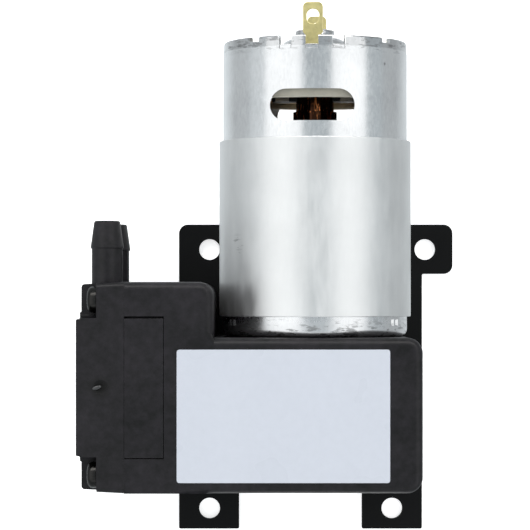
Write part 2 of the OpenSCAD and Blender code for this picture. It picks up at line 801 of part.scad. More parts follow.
// Drawn steel cap with a domed bearing cup; its ears lie in the notches of the can
module end_cap() {
    color([0.75, 0.76, 0.78]) at_motor_end() difference() {
        union() {
            translate([0, 0, cap_low]) cylinder(r = can_in - fit, h = cap_t);
            for (t = [-tab_step, 0, tab_step], u = [0, 180]) rotate([0, 0, t + u])
                translate([fit - tab_w / 2, can_in - over, cap_low])
                    cube([tab_w - 2 * fit, can_wall - fit + over, cap_t]);
            rotate_extrude() polygon([
                [0, cap_low], [7.2, cap_low], [7.2, cap_top], [6.6, can_len - 0.1], [5.9, can_len + 0.7],
                [5.2, can_len + 1.2], [4.4, can_len + 1.5], [4, can_len + 1.8], [4, rear_top - 0.4],
                [3.6, rear_top], [0, rear_top]
            ]);
        }
        translate([0, 0, cap_low - over]) cylinder(r = rear_cup_r, h = rear_top - 0.6 - cap_low + over);
        translate([0, 0, rear_top - over]) cylinder(r = shaft_r + 0.6, h = 2 * over);
        for (y = [-1, 1]) translate([0, y * terminal_off, cap_low - over])
            translate([-2.6, -1.3, 0]) cube([5.2, 2.6, cap_t + 2 * over]);
        for (x = [-1, 1]) translate([x * terminal_off, 0, cap_low - over])
            cylinder(d = 3, h = cap_t + 2 * over);
    }
}

// Plastic holder behind the end cap: disc, skirt, brush guides and two terminal sleeves
module brush_holder() {
    disc_low = holder_top - holder_t;
    guide_x = comm_r + 1.3;
    guide_len = 2.6;
    guide_gap = brush_w / 2 + 0.1;
    color([0.62, 0.6, 0.54]) at_motor_end() difference() {
        union() {
            translate([0, 0, disc_low]) cylinder(r = skirt_out, h = holder_t);
            tube(skirt_out, skirt_out - skirt_t, skirt_low, disc_low + over);
            for (y = [-1, 1]) translate([-2.5, y * terminal_off - 1.2, disc_low])
                cube([5, 2.4, cap_top + 0.2 - disc_low]);
            for (x = [-1, 1], y = [-1, 1])
                translate([x * (guide_x + guide_len / 2) - guide_len / 2, y > 0 ? guide_gap : -guide_gap - 1,
                           brush_mid - brush_h / 2])
                    cube([guide_len, 1, disc_low + over - brush_mid + brush_h / 2]);
        }
        translate([0, 0, disc_low - over]) cylinder(r = comm_r + 0.8, h = holder_t + 2 * over);
        for (y = [-1, 1])
            translate([-neck_w / 2 - fit, y * terminal_off - terminal_t / 2 - fit, disc_low - over])
                cube([neck_w + 2 * fit, terminal_t + 2 * fit, holder_t + cap_t + 2 * over]);
    }
}

// Unit vector square to a run in the plane
function across(run) = [-run[1], run[0]] / norm(run);

// Leaf springs that carry the brushes and feed them from the terminals
module brush_arms() {
    arm_t = 0.35;
    arm_h = 3;
    back = comm_r + run_gap + brush_len + arm_t / 2 + fit;
    near = [0.9, -terminal_off + terminal_t / 2 + arm_t / 2 + fit];
    bend = [back + 0.6, -6.5];
    tip = [back, 1.2];
    near_side = arm_t / 2 * across(bend - near);
    tip_side = arm_t / 2 * across(tip - bend);
    bend_side = (near_side + tip_side) / (1 + across(bend - near) * across(tip - bend));
    color([0.78, 0.6, 0.35]) at_motor_end() for (t = [0, 180]) rotate([0, 0, t])
        translate([0, 0, brush_mid - arm_h / 2]) linear_extrude(arm_h) polygon([
            near + near_side, bend + bend_side, tip + tip_side,
            tip - tip_side, bend - bend_side, near - near_side
        ]);
}

module carbon_brushes() {
    face = comm_r + run_gap;
    color([0.1, 0.1, 0.1]) at_motor_end() translate([0, 0, brush_mid - brush_h / 2]) difference() {
        for (t = [0, 180]) rotate([0, 0, t])
            translate([face - 0.6, -brush_w / 2, 0]) cube([brush_len + 0.6, brush_w, brush_h]);
        translate([0, 0, -over]) cylinder(r = face, h = brush_h + 2 * over);
    }
}

// Brass solder terminal standing along +z: neck, wider end and solder eye
module terminal() {
    end_r = 0.9;
    eye_z = terminal_top - 2.75;
    translate([0, terminal_t / 2, 0]) rotate([90, 0, 0]) linear_extrude(terminal_t) difference() {
        union() {
            translate([-neck_w / 2, terminal_foot])
                square([neck_w, terminal_top - terminal_foot - 2 * end_r]);
            rounded_rect([-terminal_w / 2, terminal_neck_top], [terminal_w / 2, terminal_top], end_r);
        }
        translate([0, eye_z]) rotate([0, 0, 90]) obround(solder_hole[1], solder_hole[0]);
    }
}

module terminal_front() {
    color([0.8, 0.7, 0.35]) at_motor_end() translate([0, -terminal_off, 0]) terminal();
}

module terminal_rear() {
    color([0.8, 0.7, 0.35]) at_motor_end() translate([0, terminal_off, 0]) terminal();
}

module motor_shaft() {
    color([0.7, 0.7, 0.72]) at_crank() translate([0, 0, hub_end - 0.4])
        cylinder(r = shaft_r, h = motor_face + rear_top - 0.5 - hub_end + 0.4);
}

// Steel washers and spacer sleeves that place the armature between its bearings
module thrust_washers() {
    washer_t = 0.5;
    spacer_r = 2.9;
    rear_start = comm_high + 0.1;
    rear_end = cap_top - 0.8 - 0.1;
    color([0.66, 0.66, 0.68]) at_motor() {
        for (i = [0, 1]) tube(3.4, shaft_r, can_wall + 0.2 + i * (washer_t + fit),
                              can_wall + 0.2 + i * (washer_t + fit) + washer_t);
        tube(spacer_r, shaft_r, can_wall + 1.4, core_start - insulator_t - fit);
        tube(spacer_r, shaft_r, rear_start, rear_end - washer_t - fit);
        tube(3, shaft_r, rear_end - washer_t, rear_end);
    }
}

// Armature lamination: hub, poles and pole shoes
module lamination(grow) {
    hub = 5;
    shoe_t = 1.6;
    shoe_span = 360 / pole_count - 14;
    difference() {
        union() {
            circle(hub + grow);
            for (i = [0:pole_count - 1]) rotate([0, 0, i * 360 / pole_count]) {
                translate([0, -pole_w / 2 - grow]) square([core_r - shoe_t / 2, pole_w + 2 * grow]);
                ring_sector(core_r, core_r - shoe_t - grow, shoe_span);
            }
        }
        circle(shaft_r);
    }
}

module armature_core() {
    color([0.45, 0.45, 0.47]) at_motor() translate([0, 0, core_start])
        linear_extrude(core_len) lamination(0);
}

module slot_insulators() {
    color([0.55, 0.2, 0.15]) at_motor() for (z = [core_start - insulator_t, core_start + core_len])
        translate([0, 0, z]) linear_extrude(insulator_t) lamination(0);
}

// Copper: a bundle in every slot and a rounded ring of end turns at each side
module armature_windings() {
    bundle_r = core_r - 2;
    bundle_over = insulator_t + fit;
    hub_gap = 5.2;
    ring_in = 4.3;
    color([0.7, 0.38, 0.2]) at_motor() {
        translate([0, 0, core_start - bundle_over]) linear_extrude(core_len + 2 * bundle_over) difference() {
            circle(bundle_r);
            circle(hub_gap);
            for (i = [0:pole_count - 1]) rotate([0, 0, i * 360 / pole_count])
                translate([0, -pole_w / 2 - 0.2]) square([core_r, pole_w + 0.4]);
        }
        rotate_extrude() rounded_rect([ring_in, winding_low], [bundle_r, core_start - insulator_t], 1.5);
        rotate_extrude()
            rounded_rect([ring_in, core_start + core_len + insulator_t], [bundle_r, winding_high], 1.5);
    }
}

// Copper bars with a hooked tang on each, parted by narrow slots
module commutator() {
    color([0.72, 0.42, 0.25]) at_motor() difference() {
        union() {
            tube(comm_r, comm_sleeve_r + fit, comm_low, comm_high);
            tube(tang_r, comm_sleeve_r + fit, comm_tang, comm_low + fit);
        }
        for (i = [0:pole_count - 1]) rotate([0, 0, (i + 0.5) * 360 / pole_count]) {
            translate([0, -0.25, comm_tang - over])
                cube([2 * comm_r, 0.5, comm_high - comm_tang + 2 * over]);
            for (s = [-1, 1]) rotate([0, 0, s * 20])
                translate([comm_r - 0.1, -0.8, comm_tang - over])
                    cube([2, 1.6, comm_low - comm_tang + over]);
        }
    }
}

module commutator_sleeve() {
    color([0.15, 0.12, 0.1]) at_motor() {
        tube(comm_sleeve_r, shaft_r, winding_high - 1, comm_high);
        tube(comm_r, comm_sleeve_r - fit, winding_high + fit, comm_tang - fit);
    }
}

// Eccentric: journal off the shaft axis, shoulder, hub and a counterweight on the far side
module eccentric() {
    half_w = bearing_w / 2;
    color([0.6, 0.6, 0.6]) at_crank() difference() {
        union() {
            translate([crank_e, 0, -half_w]) cylinder(r = journal_r, h = bearing_w);
            translate([crank_e, 0, -half_w - 0.4]) cylinder(r = shoulder_r, h = 0.4);
            translate([0, 0, hub_end]) cylinder(r = hub_r, h = -half_w - 0.4 - hub_end);
            translate([0, 0, hub_end]) linear_extrude(weight_t) difference() {
                circle(weight_r);
                translate([-1, -2 * weight_r]) square([4 * weight_r, 4 * weight_r]);
                for (m = [0, 1]) mirror([0, m]) rotate([0, 0, 20])
                    translate([-1.5 * weight_r, 0.9 * weight_r]) square([3 * weight_r, weight_r]);
            }
        }
        translate([0, 0, hub_end - over]) cylinder(r = shaft_r, h = 20);
        translate([0, 0, grub_z]) rotate([0, 90, 0]) cylinder(r = grub_r + fit, h = 20);
    }
}

module grub_screw() {
    color([0.25, 0.25, 0.27]) at_crank()
        translate([shaft_r + fit, 0, grub_z]) rotate([0, 90, 0]) difference() {
        cylinder(r = grub_r, h = hub_r - shaft_r - 0.3);
        translate([0, 0, hub_r - shaft_r - 1.5]) cylinder(d = 1.7, h = 3, $fn = 6);
    }
}

// Track that the balls run in
module ball_groove() {
    rotate_extrude() translate([pitch_r, 0]) circle(groove_r);
}

module bearing_inner_race() {
    color([0.7, 0.71, 0.73]) at_crank() translate([crank_e, 0, 0]) difference() {
        tube(inner_race_r, journal_r, -bearing_w / 2, bearing_w / 2);
        ball_groove();
    }
}

module bearing_outer_race() {
    color([0.7, 0.71, 0.73]) at_crank() translate([crank_e, 0, 0]) difference() {
        tube(race_out_r, outer_race_r, -bearing_w / 2, bearing_w / 2);
        ball_groove();
    }
}

module bearing_balls() {
    color([0.8, 0.8, 0.82]) at_crank() translate([crank_e, 0, 0])
        for (i = [0:ball_count - 1]) rotate([0, 0, ball_phase + i * 360 / ball_count])
            translate([pitch_r, 0, 0]) sphere(ball_r);
}

module ball_cage() {
    cage_half = 1.6;
    cage_t = 0.6;
    color([0.62, 0.5, 0.3]) at_crank() translate([crank_e, 0, 0]) difference() {
        tube(pitch_r + cage_t / 2, pitch_r - cage_t / 2, -cage_half, cage_half);
        for (i = [0:ball_count - 1]) rotate([0, 0, ball_phase + i * 360 / ball_count])
            translate([pitch_r - 1, 0, 0]) rotate([0, 90, 0]) cylinder(r = ball_r + run_gap, h = 2);
    }
}

// Rod with a ring round the bearing, a ribbed web and a flange for the diaphragm
module connecting_rod() {
    half_w = bearing_w / 2;
    flange_end = rod_flange_x + rod_flange_t;
    web_root = crank_e - race_out_r;
    color([0.78, 0.78, 0.75]) at_crank() difference() {
        union() {
            translate([crank_e, 0, -half_w]) cylinder(r = rod_ring_r, h = bearing_w);
            translate([0, 0, -half_w]) linear_extrude(bearing_w)
                polygon([[web_root, -rod_web_half - 2], [flange_end - 0.2, -rod_web_half],
                         [flange_end - 0.2, rod_web_half], [web_root, rod_web_half + 2]]);
            translate([rod_flange_x, 0, 0]) rotate([0, 90, 0]) cylinder(d = rod_flange_d, h = rod_flange_t);
        }
        translate([crank_e, 0, -half_w - over]) cylinder(r = race_out_r, h = bearing_w + 2 * over);
        // Pockets that leave an I section in the web
        for (s = [-1, 1]) translate([0, 0, s * (half_w + over - rod_rib_t / 2 + 0.2)])
            linear_extrude(2 * over, center = true)
                polygon([[web_root - rod_wall - 1.5, -rod_web_half + rod_rib_t - 0.6],
                         [flange_end + rod_rib_t, -rod_web_half + rod_rib_t],
                         [flange_end + rod_rib_t, rod_web_half - rod_rib_t],
                         [web_root - rod_wall - 1.5, rod_web_half - rod_rib_t + 0.6]]);
        translate([rod_flange_x - over, 0, 0]) rotate([0, 90, 0])
            cylinder(r = hole_r, h = clamp_screw_len - diaphragm_t - clamp_washer_t + over + 0.5);
    }
}

mounting_bracket();
bracket_screws();
rear_cover();
crankcase();
chamber_block();
head_seal();
diaphragm();
valve_plate();
inlet_flap();
outlet_flap();
pump_head();
head_screws();
rating_label();
motor_can();
flux_ring();
magnets();
magnet_clips();
front_bearing();
motor_screws();
end_cap();
rear_bearing();
brush_holder();
brush_arms();
carbon_brushes();
terminal_front();
terminal_rear();
motor_shaft();
thrust_washers();
armature_core();
slot_insulators();
armature_windings();
commutator();
commutator_sleeve();
eccentric();
grub_screw();
bearing_inner_race();
bearing_balls();
ball_cage();
bearing_outer_race();
connecting_rod();
diaphragm_washer();
diaphragm_screw();
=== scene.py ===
"""Looks of a mini diaphragm vacuum pump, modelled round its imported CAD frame.

Lengths are in metres in Blender; mm() turns the pump's millimetres into them.
X runs across the pump, Y along the motor shaft towards the terminals, Z up from the bracket.
"""

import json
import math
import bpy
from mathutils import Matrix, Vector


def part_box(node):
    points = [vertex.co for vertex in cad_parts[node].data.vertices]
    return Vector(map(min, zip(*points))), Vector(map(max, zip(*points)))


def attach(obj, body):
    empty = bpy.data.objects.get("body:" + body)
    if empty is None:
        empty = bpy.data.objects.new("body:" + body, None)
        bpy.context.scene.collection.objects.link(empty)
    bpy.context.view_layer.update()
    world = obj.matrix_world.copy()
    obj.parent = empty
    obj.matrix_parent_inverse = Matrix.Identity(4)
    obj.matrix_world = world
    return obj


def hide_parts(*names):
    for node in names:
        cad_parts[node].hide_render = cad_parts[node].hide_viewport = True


bl_info = {
    "name": "Mini Vacuum Pump",
    "version": (1, 0, 0),
    "blender": (4, 5, 0),
    "location": "View3D > Sidebar > Vacuum Pump",
    "description": "Models the visible pieces, finishes and studio of a mini vacuum pump",
    "category": "Object",
}

import bpy
from bpy.props import FloatProperty, FloatVectorProperty, PointerProperty
from mathutils import Matrix, Vector

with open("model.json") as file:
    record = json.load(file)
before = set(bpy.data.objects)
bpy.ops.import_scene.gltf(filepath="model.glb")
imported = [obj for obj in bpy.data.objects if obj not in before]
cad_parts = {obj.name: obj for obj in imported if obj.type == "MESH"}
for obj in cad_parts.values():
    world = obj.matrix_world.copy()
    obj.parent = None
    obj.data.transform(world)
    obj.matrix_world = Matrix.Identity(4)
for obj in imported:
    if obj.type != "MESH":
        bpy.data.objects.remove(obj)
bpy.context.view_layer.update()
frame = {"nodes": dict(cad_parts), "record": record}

MM = 0.001


def mm(*lengths):
    """Millimetres as metres: a number for one length, a Vector for three."""
    return lengths[0] * MM if len(lengths) == 1 else Vector(lengths) * MM


# The photograph looks straight down on the pump from this place
CAMERA_SPOT = mm(-9.75, 16.0, 500.75)
CAMERA_LENS = 167.1
CAMERA_SHIFT_Y = 0.066


# Node materials

def node(tree, kind, **inputs):
    """A shader node with some of its input sockets set."""
    made = tree.nodes.new(kind)
    for name, value in inputs.items():
        made.inputs[name.replace("_", " ")].default_value = value
    return made


def object_space(tree, stretch=(1, 1, 1)):
    """Object coordinates, stretched where a grain needs a direction."""
    place = tree.nodes.new("ShaderNodeTexCoord")
    mapping = tree.nodes.new("ShaderNodeMapping")
    mapping.inputs["Scale"].default_value = stretch
    tree.links.new(place.outputs["Object"], mapping.inputs["Vector"])
    return mapping.outputs["Vector"]


def noise(tree, vector, scale, detail=3, rough=0.5):
    """Noise value on a vector."""
    made = node(tree, "ShaderNodeTexNoise", Scale=scale, Detail=detail, Roughness=rough)
    tree.links.new(vector, made.inputs["Vector"])
    return made.outputs["Fac"]


def spread(tree, value, low, high, start=0.3, end=0.7):
    """A noise value mapped on a range of numbers."""
    made = node(tree, "ShaderNodeMapRange", From_Min=start, From_Max=end, To_Min=low, To_Max=high)
    tree.links.new(value, made.inputs["Value"])
    return made.outputs["Result"]


def two_tone(tree, value, dark, light, start=0.35, end=0.65):
    """A colour between two, by a noise value."""
    ramp = tree.nodes.new("ShaderNodeValToRGB")
    ramp.color_ramp.elements[0].position = start
    ramp.color_ramp.elements[1].position = end
    ramp.color_ramp.elements[0].color = (*dark, 1)
    ramp.color_ramp.elements[1].color = (*light, 1)
    tree.links.new(value, ramp.inputs["Fac"])
    return ramp.outputs["Color"]


def bump(tree, height, strength, depth):
    """A bump normal from a height, with its depth in millimetres."""
    made = node(tree, "ShaderNodeBump", Strength=strength, Distance=mm(depth))
    tree.links.new(height, made.inputs["Height"])
    return made.outputs["Normal"]


def shades(colour, spread_by):
    """A darker and a lighter shade of a colour."""
    return [tuple(min(1, c * k) for c in colour) for k in (1 - spread_by, 1 + spread_by)]


def blend(tree, first, second, share=0.5):
    """Two noise values mixed."""
    made = node(tree, "ShaderNodeMix", Factor=share)
    tree.links.new(first, made.inputs["A"])
    tree.links.new(second, made.inputs["B"])
    return made.outputs["Result"]


def principled(name):
    """A new material with its tree and its shader."""
    material = bpy.data.materials.new(name)
    material.use_nodes = True
    return material, material.node_tree, material.node_tree.nodes["Principled BSDF"]


def moulded(name, colour, rough=0.55, grain=2600, depth=0.02, strength=0.35, vary=0.1,
            gloss=0.3):
    """Moulded plastic: spark-eroded grain, slow flow marks in gloss and a mottle in colour."""
    material, tree, shader = principled(name)
    place = object_space(tree)
    flow = noise(tree, place, 90, 2)
    mottle = blend(tree, flow, noise(tree, place, 620, 4, 0.65), 0.6)
    fine = noise(tree, place, grain, 2, 0.6)
    tree.links.new(two_tone(tree, mottle, *shades(colour, vary)), shader.inputs["Base Color"])
    tree.links.new(spread(tree, flow, rough - 0.05, rough + 0.05), shader.inputs["Roughness"])
    shader.inputs["Specular IOR Level"].default_value = gloss
    tree.links.new(bump(tree, fine, strength, depth), shader.inputs["Normal"])
    return material


def metal(name, colour, rough=0.3, stretch=(1, 1, 1), grain=900, depth=0.004, strength=0.2,
          vary=0.04, gloss_vary=0.06, painted_glint=None):
    """Metal with a drawn, rolled or ground grain that runs across the stretched axes.

    A painted glint colour, a painted highlight, shows in the lighter streaks of the grain."""
    material, tree, shader = principled(name)
    shader.inputs["Metallic"].default_value = 1
    lines = noise(tree, object_space(tree, stretch), grain, 3, 0.6)
    cloud = blend(tree, noise(tree, object_space(tree), 90, 6, 0.6), lines, 0.4)
    # The lighter streaks take the painted glint colour: painted highlights in the base colour
    if painted_glint:
        tone = two_tone(tree, lines, colour, painted_glint, 0.56, 0.64)
    else:
        tone = two_tone(tree, cloud, *shades(colour, vary))
    tree.links.new(tone, shader.inputs["Base Color"])
    tree.links.new(spread(tree, lines, rough - gloss_vary, rough + gloss_vary),
                   shader.inputs["Roughness"])
    tree.links.new(bump(tree, lines, strength, depth), shader.inputs["Normal"])
    return material


def strip_along(tree, start, end):
    """A share that grows from 0 to 1 between two places along the motor."""
    along = tree.nodes.new("ShaderNodeSeparateXYZ")
    tree.links.new(object_space(tree), along.inputs["Vector"])
    return spread(tree, along.outputs["Y"], 0, 1, mm(start), mm(end))


def spot_at(tree, place, inner, outer):
    """A share that is 1 near a place and falls to 0 farther out."""
    gap = tree.nodes.new("ShaderNodeVectorMath")
    gap.operation = "DISTANCE"
    gap.inputs[1].default_value = mm(*place)
    tree.links.new(object_space(tree), gap.inputs[0])
    return spread(tree, gap.outputs["Value"], 0, 1, mm(outer), mm(inner))


def scuffs_and_painted_streaks(tree, where, *extent):
    """A share that is broken up into marks, longer across the pump than along it: scuff marks, and
    streaks of painted dark reflection.
    """
    scuff_and_streak_noise = noise(tree, object_space(tree, (0.45, 1.6, 0.45)), 800, 5, 0.65)
    marks = spread(tree, scuff_and_streak_noise, 0, 1, 0.53, 0.6)
    both = tree.nodes.new("ShaderNodeMath")
    both.operation = "MULTIPLY"
    for share, socket in zip((where(tree, *extent), marks), both.inputs):
        tree.links.new(share, socket)
    return both.outputs["Value"]


def patch(material, where, *extent, shade=1, **goals):
    """A part of a finish is darker, and the inputs that are named go towards other values."""
    tree = material.node_tree
    shader = tree.nodes["Principled BSDF"]
    share = where(tree, *extent)
    for name, goal in goals.items():
        socket = shader.inputs[name.replace("_", " ")]
        change = node(tree, "ShaderNodeMix", B=goal)
        tree.links.new(share, change.inputs["Factor"])
        tree.links.new(socket.links[0].from_socket, change.inputs["A"])
        tree.links.new(change.outputs["Result"], socket)
    dark = tree.nodes.new("ShaderNodeMix")
    dark.data_type = "RGBA"
    dark.blend_type = "MULTIPLY"
    factor, first, second = (s for s in dark.inputs if s.enabled)
    second.default_value = (shade, shade, shade, 1)
    tree.links.new(share, factor)
    tree.links.new(shader.inputs["Base Color"].links[0].from_socket, first)
    tree.links.new(next(s for s in dark.outputs if s.enabled), shader.inputs["Base Color"])


def translucent(material, scale):
    """A plastic that lets some light through."""
    shader = material.node_tree.nodes["Principled BSDF"]
    shader.inputs["Subsurface Weight"].default_value = 0.6
    shader.inputs["Subsurface Radius"].default_value = (1, 0.95, 0.9)
    shader.inputs["Subsurface Scale"].default_value = mm(scale)
    return material


def finishes():
    """Every finish of the pump, by its material slot."""
    colours = bpy.context.scene.pump_colours
    can = metal("nickel-plated drawn steel", colours.can, 0.22, (1, 0.35, 1), 2400, 0.005, 0.22,
                0.09, 0.04)
    # The can is duller at its closed end and polished at its rim; painted dark reflection darkens
    # the rim and, broken up with scuff marks, the closed end
    patch(can, strip_along, CAN_FACE + 5, CAN_FACE + 0.8, shade=0.95, Roughness=0.33)
    # The rim's darker colour is a painted dark reflection; its low roughness is real polish
    patch(can, strip_along, CAN_HIGH.y - 2, CAN_HIGH.y - 1.85, shade=0.8, Roughness=0.1)
    # Scuff marks that thicken towards the closed end into a painted dark reflection of the housing
    patch(can, scuffs_and_painted_streaks, strip_along, CAN_FACE + 4.5, CAN_FACE + 0.5, shade=0.3, Roughness=0.4)
    # Streaks of painted dark reflection along the rim
    patch(can, scuffs_and_painted_streaks, strip_along, CAN_HIGH.y - 3, CAN_HIGH.y - 1.5, shade=0.5, Roughness=0.3)
    patch(can, spot_at, CAN_PIT, 0.1, 0.4, shade=0.4, Roughness=0.4)
    ring = metal("satin zinc-plated strip", colours.ring, 0.45, (1, 0.2, 1), 700, vary=0.05)
    patch(ring, scuffs_and_painted_streaks, spot_at, RING_SCUFF, 0.4, 2.2, shade=0.55)
    plastic = {"rough": 0.44, "depth": 0.03, "vary": 0.85, "gloss": 0.32}
    head = moulded("black moulded head plastic", colours.plastic, **plastic)
    # Painted shade darkens the dimple of the moulding gate, fully in its middle
    patch(head, spot_at, (FLANGE_X + 0.7, CHAMBER_Y, HEAD_HIGH.z), 0.9, 2.5, shade=0.02,
          Roughness=0.8)
    return {
        "black_plastic": moulded("black moulded plastic", colours.plastic, **plastic),
        "head_plastic": head,
        "black_paint": moulded("black bracket coating", colours.coating, 0.4, 1800, 0.01, 0.3,
                               0.15, 0.16),
        "black_screw": metal("blackened steel", (0.032, 0.031, 0.03), 0.26),
        "zinc_screw": metal("bright zinc plate", (0.72, 0.73, 0.75), 0.18),
        "can_steel": can,
        "ring_steel": ring,
        "spring_steel": metal("spring steel", (0.4, 0.4, 0.41), 0.35),
        "shaft_steel": metal("ground steel", (0.6, 0.6, 0.61), 0.2, (1, 10, 1)),
        "ferrite": moulded("sintered ferrite", (0.05, 0.05, 0.055), 0.7, 1500, 0.03),
        "core_steel": metal("stamped laminations", (0.24, 0.24, 0.25), 0.45, (0.2, 30, 0.2), 150,
                            0.02, 0.4),
        "gate_scar": moulded("torn plastic", (0.045, 0.045, 0.047), 0.32, 3000, 0.05, gloss=0.5),
        "winding_copper": metal("enamelled copper wire", (0.55, 0.19, 0.06), 0.3, (3, 3, 3), 700,
                                0.06, 0.5, 0.15),
        # The commutator's copper is painted near black as painted shade, and its lighter streaks
        # are painted glints
        "commutator_copper": metal("turned copper with painted shade and glints", (0.05, 0.02, 0.011), 0.16, (1, 0.2, 1), 1700,
                                   0.01, 0.3, painted_glint=(0.9, 0.33, 0.12)),
        "fibre": moulded("insulating fibre", (0.14, 0.05, 0.03), 0.6, 1200, 0.02),
        "bronze": metal("oiled sintered bronze", (0.5, 0.34, 0.15), 0.4),
        "carbon": moulded("pressed carbon", (0.02, 0.02, 0.02), 0.5, 2000, 0.02),
        "holder_plastic": translucent(
            moulded("grey-beige moulded plastic", colours.holder, 0.5, 2200, 0.02), 3),
        "terminal_brass": metal("stamped brass", colours.brass, 0.36, (1, 1, 1), 1500, 0.012,
                                0.4, 0.14),
        "cast_metal": metal("zinc die casting", (0.42, 0.42, 0.43), 0.5, (1, 1, 1), 700, 0.02,
                            0.4),
        "bearing_steel": metal("polished bearing steel", (0.7, 0.7, 0.71), 0.12),
        "rod_plastic": moulded("natural nylon", (0.6, 0.58, 0.5), 0.4, 1800, 0.01),
        "valve_plastic": moulded("natural acetal", (0.7, 0.7, 0.66), 0.35, 1800, 0.01),
        "black_rubber": moulded("nitrile rubber", (0.022, 0.022, 0.022), 0.75, 1400, 0.03),
        "seal_rubber": moulded("silicone rubber", (0.45, 0.09, 0.05), 0.6, 1400, 0.02),
        "label_film": moulded("label film", colours.label, 0.3, 3200, 0.004, 0.2, 0.02),
    }


def dress_frame(finish):
    """Every CAD node gets the finish of its slot."""
    for part in frame["record"]["subparts"]:
        mesh = frame["nodes"][part["node"]].data
        mesh.materials.clear()
        mesh.materials.append(finish[part["material_slot"]])


# Modelling by hand: every length below is in millimetres

# A test takes an edge or face that is this close to a place, and a normal that points this
# far along an axis
CLOSE = 0.01
ALONG = 0.9


def corners(name):
    """Lowest and highest corner of a CAD node."""
    low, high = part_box(name)
    return low / MM, high / MM


def deselect():
    """Object mode with nothing selected."""
    if bpy.context.mode != "OBJECT":
        bpy.ops.object.mode_set(mode="OBJECT")
    bpy.ops.object.select_all(action="DESELECT")


def take(piece):
    """One piece selected and active."""
    deselect()
    piece.select_set(True)
    bpy.context.view_layer.objects.active = piece


def settle(piece, name):
    """The piece gets its name, and its place and size go into its mesh."""
    take(piece)
    piece.name = piece.data.name = name
    bpy.ops.object.transform_apply(location=True, rotation=True, scale=True)
    return piece


def block(name, low, high):
    """A box between two corners."""
    low, high = Vector(low), Vector(high)
    deselect()
    bpy.ops.mesh.primitive_cube_add(size=1, location=(low + high) / 2 * MM)
    bpy.context.object.scale = (high - low) * MM
    return settle(bpy.context.object, name)


def rod(name, radius, start, end, tip=None, sides=64):
    """A round bar between two points, or a cone when it has another radius at its tip."""
    start, end = Vector(start), Vector(end)
    deselect()
    bpy.ops.mesh.primitive_cone_add(vertices=sides, radius1=mm(radius),
                                    radius2=mm(radius if tip is None else tip),
                                    depth=mm((end - start).length), location=(start + end) / 2 * MM,
                                    rotation=(end - start).to_track_quat("Z", "Y").to_euler())
    return settle(bpy.context.object, name)


def arc(radius, height, size, start, end, steps=6):
    """Points of a rounded corner for a turned profile, by angle."""
    return [(radius + size * math.cos(math.radians(start + (end - start) * i / steps)),
             height + size * math.sin(math.radians(start + (end - start) * i / steps)))
            for i in range(steps + 1)]


def turned(name, base, along, profile, sides=96, hollow=False):
    """A turned solid: a disc that is pulled and scaled along a profile of radii and heights.

    A hollow one has its first and last disc bridged into a ring."""
    radius, height = profile[0]
    deselect()
    bpy.ops.mesh.primitive_circle_add(vertices=sides, radius=mm(radius), fill_type="NGON",
                                      location=(0, 0, mm(height)))
    piece = settle(bpy.context.object, name)
    bpy.ops.object.mode_set(mode="EDIT")
    bpy.ops.mesh.select_mode(type="FACE")
    bpy.ops.mesh.select_all(action="SELECT")
    for next_radius, next_height in profile[1:]:
        bpy.ops.mesh.extrude_region_move(
            TRANSFORM_OT_translate={"value": (0, 0, mm(next_height - height))})
        grow = next_radius / radius
        bpy.ops.transform.resize(value=(grow, grow, 1), center_override=(0, 0, 0))
        radius, height = next_radius, next_height
    if hollow:
        bpy.ops.object.mode_set(mode="OBJECT")
        pick(piece, "FACE", lambda middle, facing: middle.xy.length < CLOSE)
        bpy.ops.mesh.bridge_edge_loops()
    bpy.ops.mesh.select_all(action="SELECT")
    bpy.ops.mesh.normals_make_consistent(inside=False)
    bpy.ops.object.mode_set(mode="OBJECT")
    piece.rotation_euler = Vector(along).to_track_quat("Z", "Y").to_euler()
    piece.location = mm(*base)
    return settle(piece, name)


def pick(piece, kind, test):
    """Edit mode with only the faces or edges chosen that pass a test on their place in millimetres.

    A face is tested by its middle and normal, an edge by its two ends."""
    take(piece)
    bpy.ops.object.mode_set(mode="EDIT")
    bpy.ops.mesh.select_mode(type=kind)
    bpy.ops.mesh.select_all(action="DESELECT")
    bpy.ops.object.mode_set(mode="OBJECT")
    mesh = piece.data
    if kind == "FACE":
        for face in mesh.polygons:
            face.select = test(face.center / MM, face.normal)
    else:
        for edge in mesh.edges:
            edge.select = test(*(mesh.vertices[i].co / MM for i in edge.vertices))
    bpy.ops.object.mode_set(mode="EDIT")


def slice_at(piece, point, normal):
    """A cut through the whole piece along a plane, which leaves it in one."""
    pick(piece, "FACE", lambda middle, facing: True)
    bpy.ops.mesh.bisect(plane_co=mm(*point), plane_no=normal)
    bpy.ops.object.mode_set(mode="OBJECT")


def pull(piece, test, way, scale=(1, 1, 1), about=(0, 0, 0)):
    """Faces pulled out along a way, and scaled about a point."""
    pick(piece, "FACE", test)
    bpy.ops.mesh.extrude_region_move(TRANSFORM_OT_translate={"value": mm(*way)})
    bpy.ops.transform.resize(value=scale, center_override=mm(*about))
    bpy.ops.object.mode_set(mode="OBJECT")


def squeeze(piece, test, scale, about=(0, 0, 0)):
    """Faces scaled about a point where they are, which gives a block its taper."""
    pick(piece, "FACE", test)
    bpy.ops.transform.resize(value=scale, center_override=mm(*about))
    bpy.ops.object.mode_set(mode="OBJECT")


def round_edges(piece, test, radius, steps=6):
    """Edges rounded in edit mode."""
    pick(piece, "EDGE", test)
    bpy.ops.mesh.bevel(offset=mm(radius), segments=steps, affect="EDGES", clamp_overlap=True)
    bpy.ops.object.mode_set(mode="OBJECT")


def upright_at(*spots, reach=0.05):
    """A test for upright edges at places in plan."""
    def test(a, b):
        return any(max(math.dist(a.xy, spot), math.dist(b.xy, spot)) < reach for spot in spots)
    return test


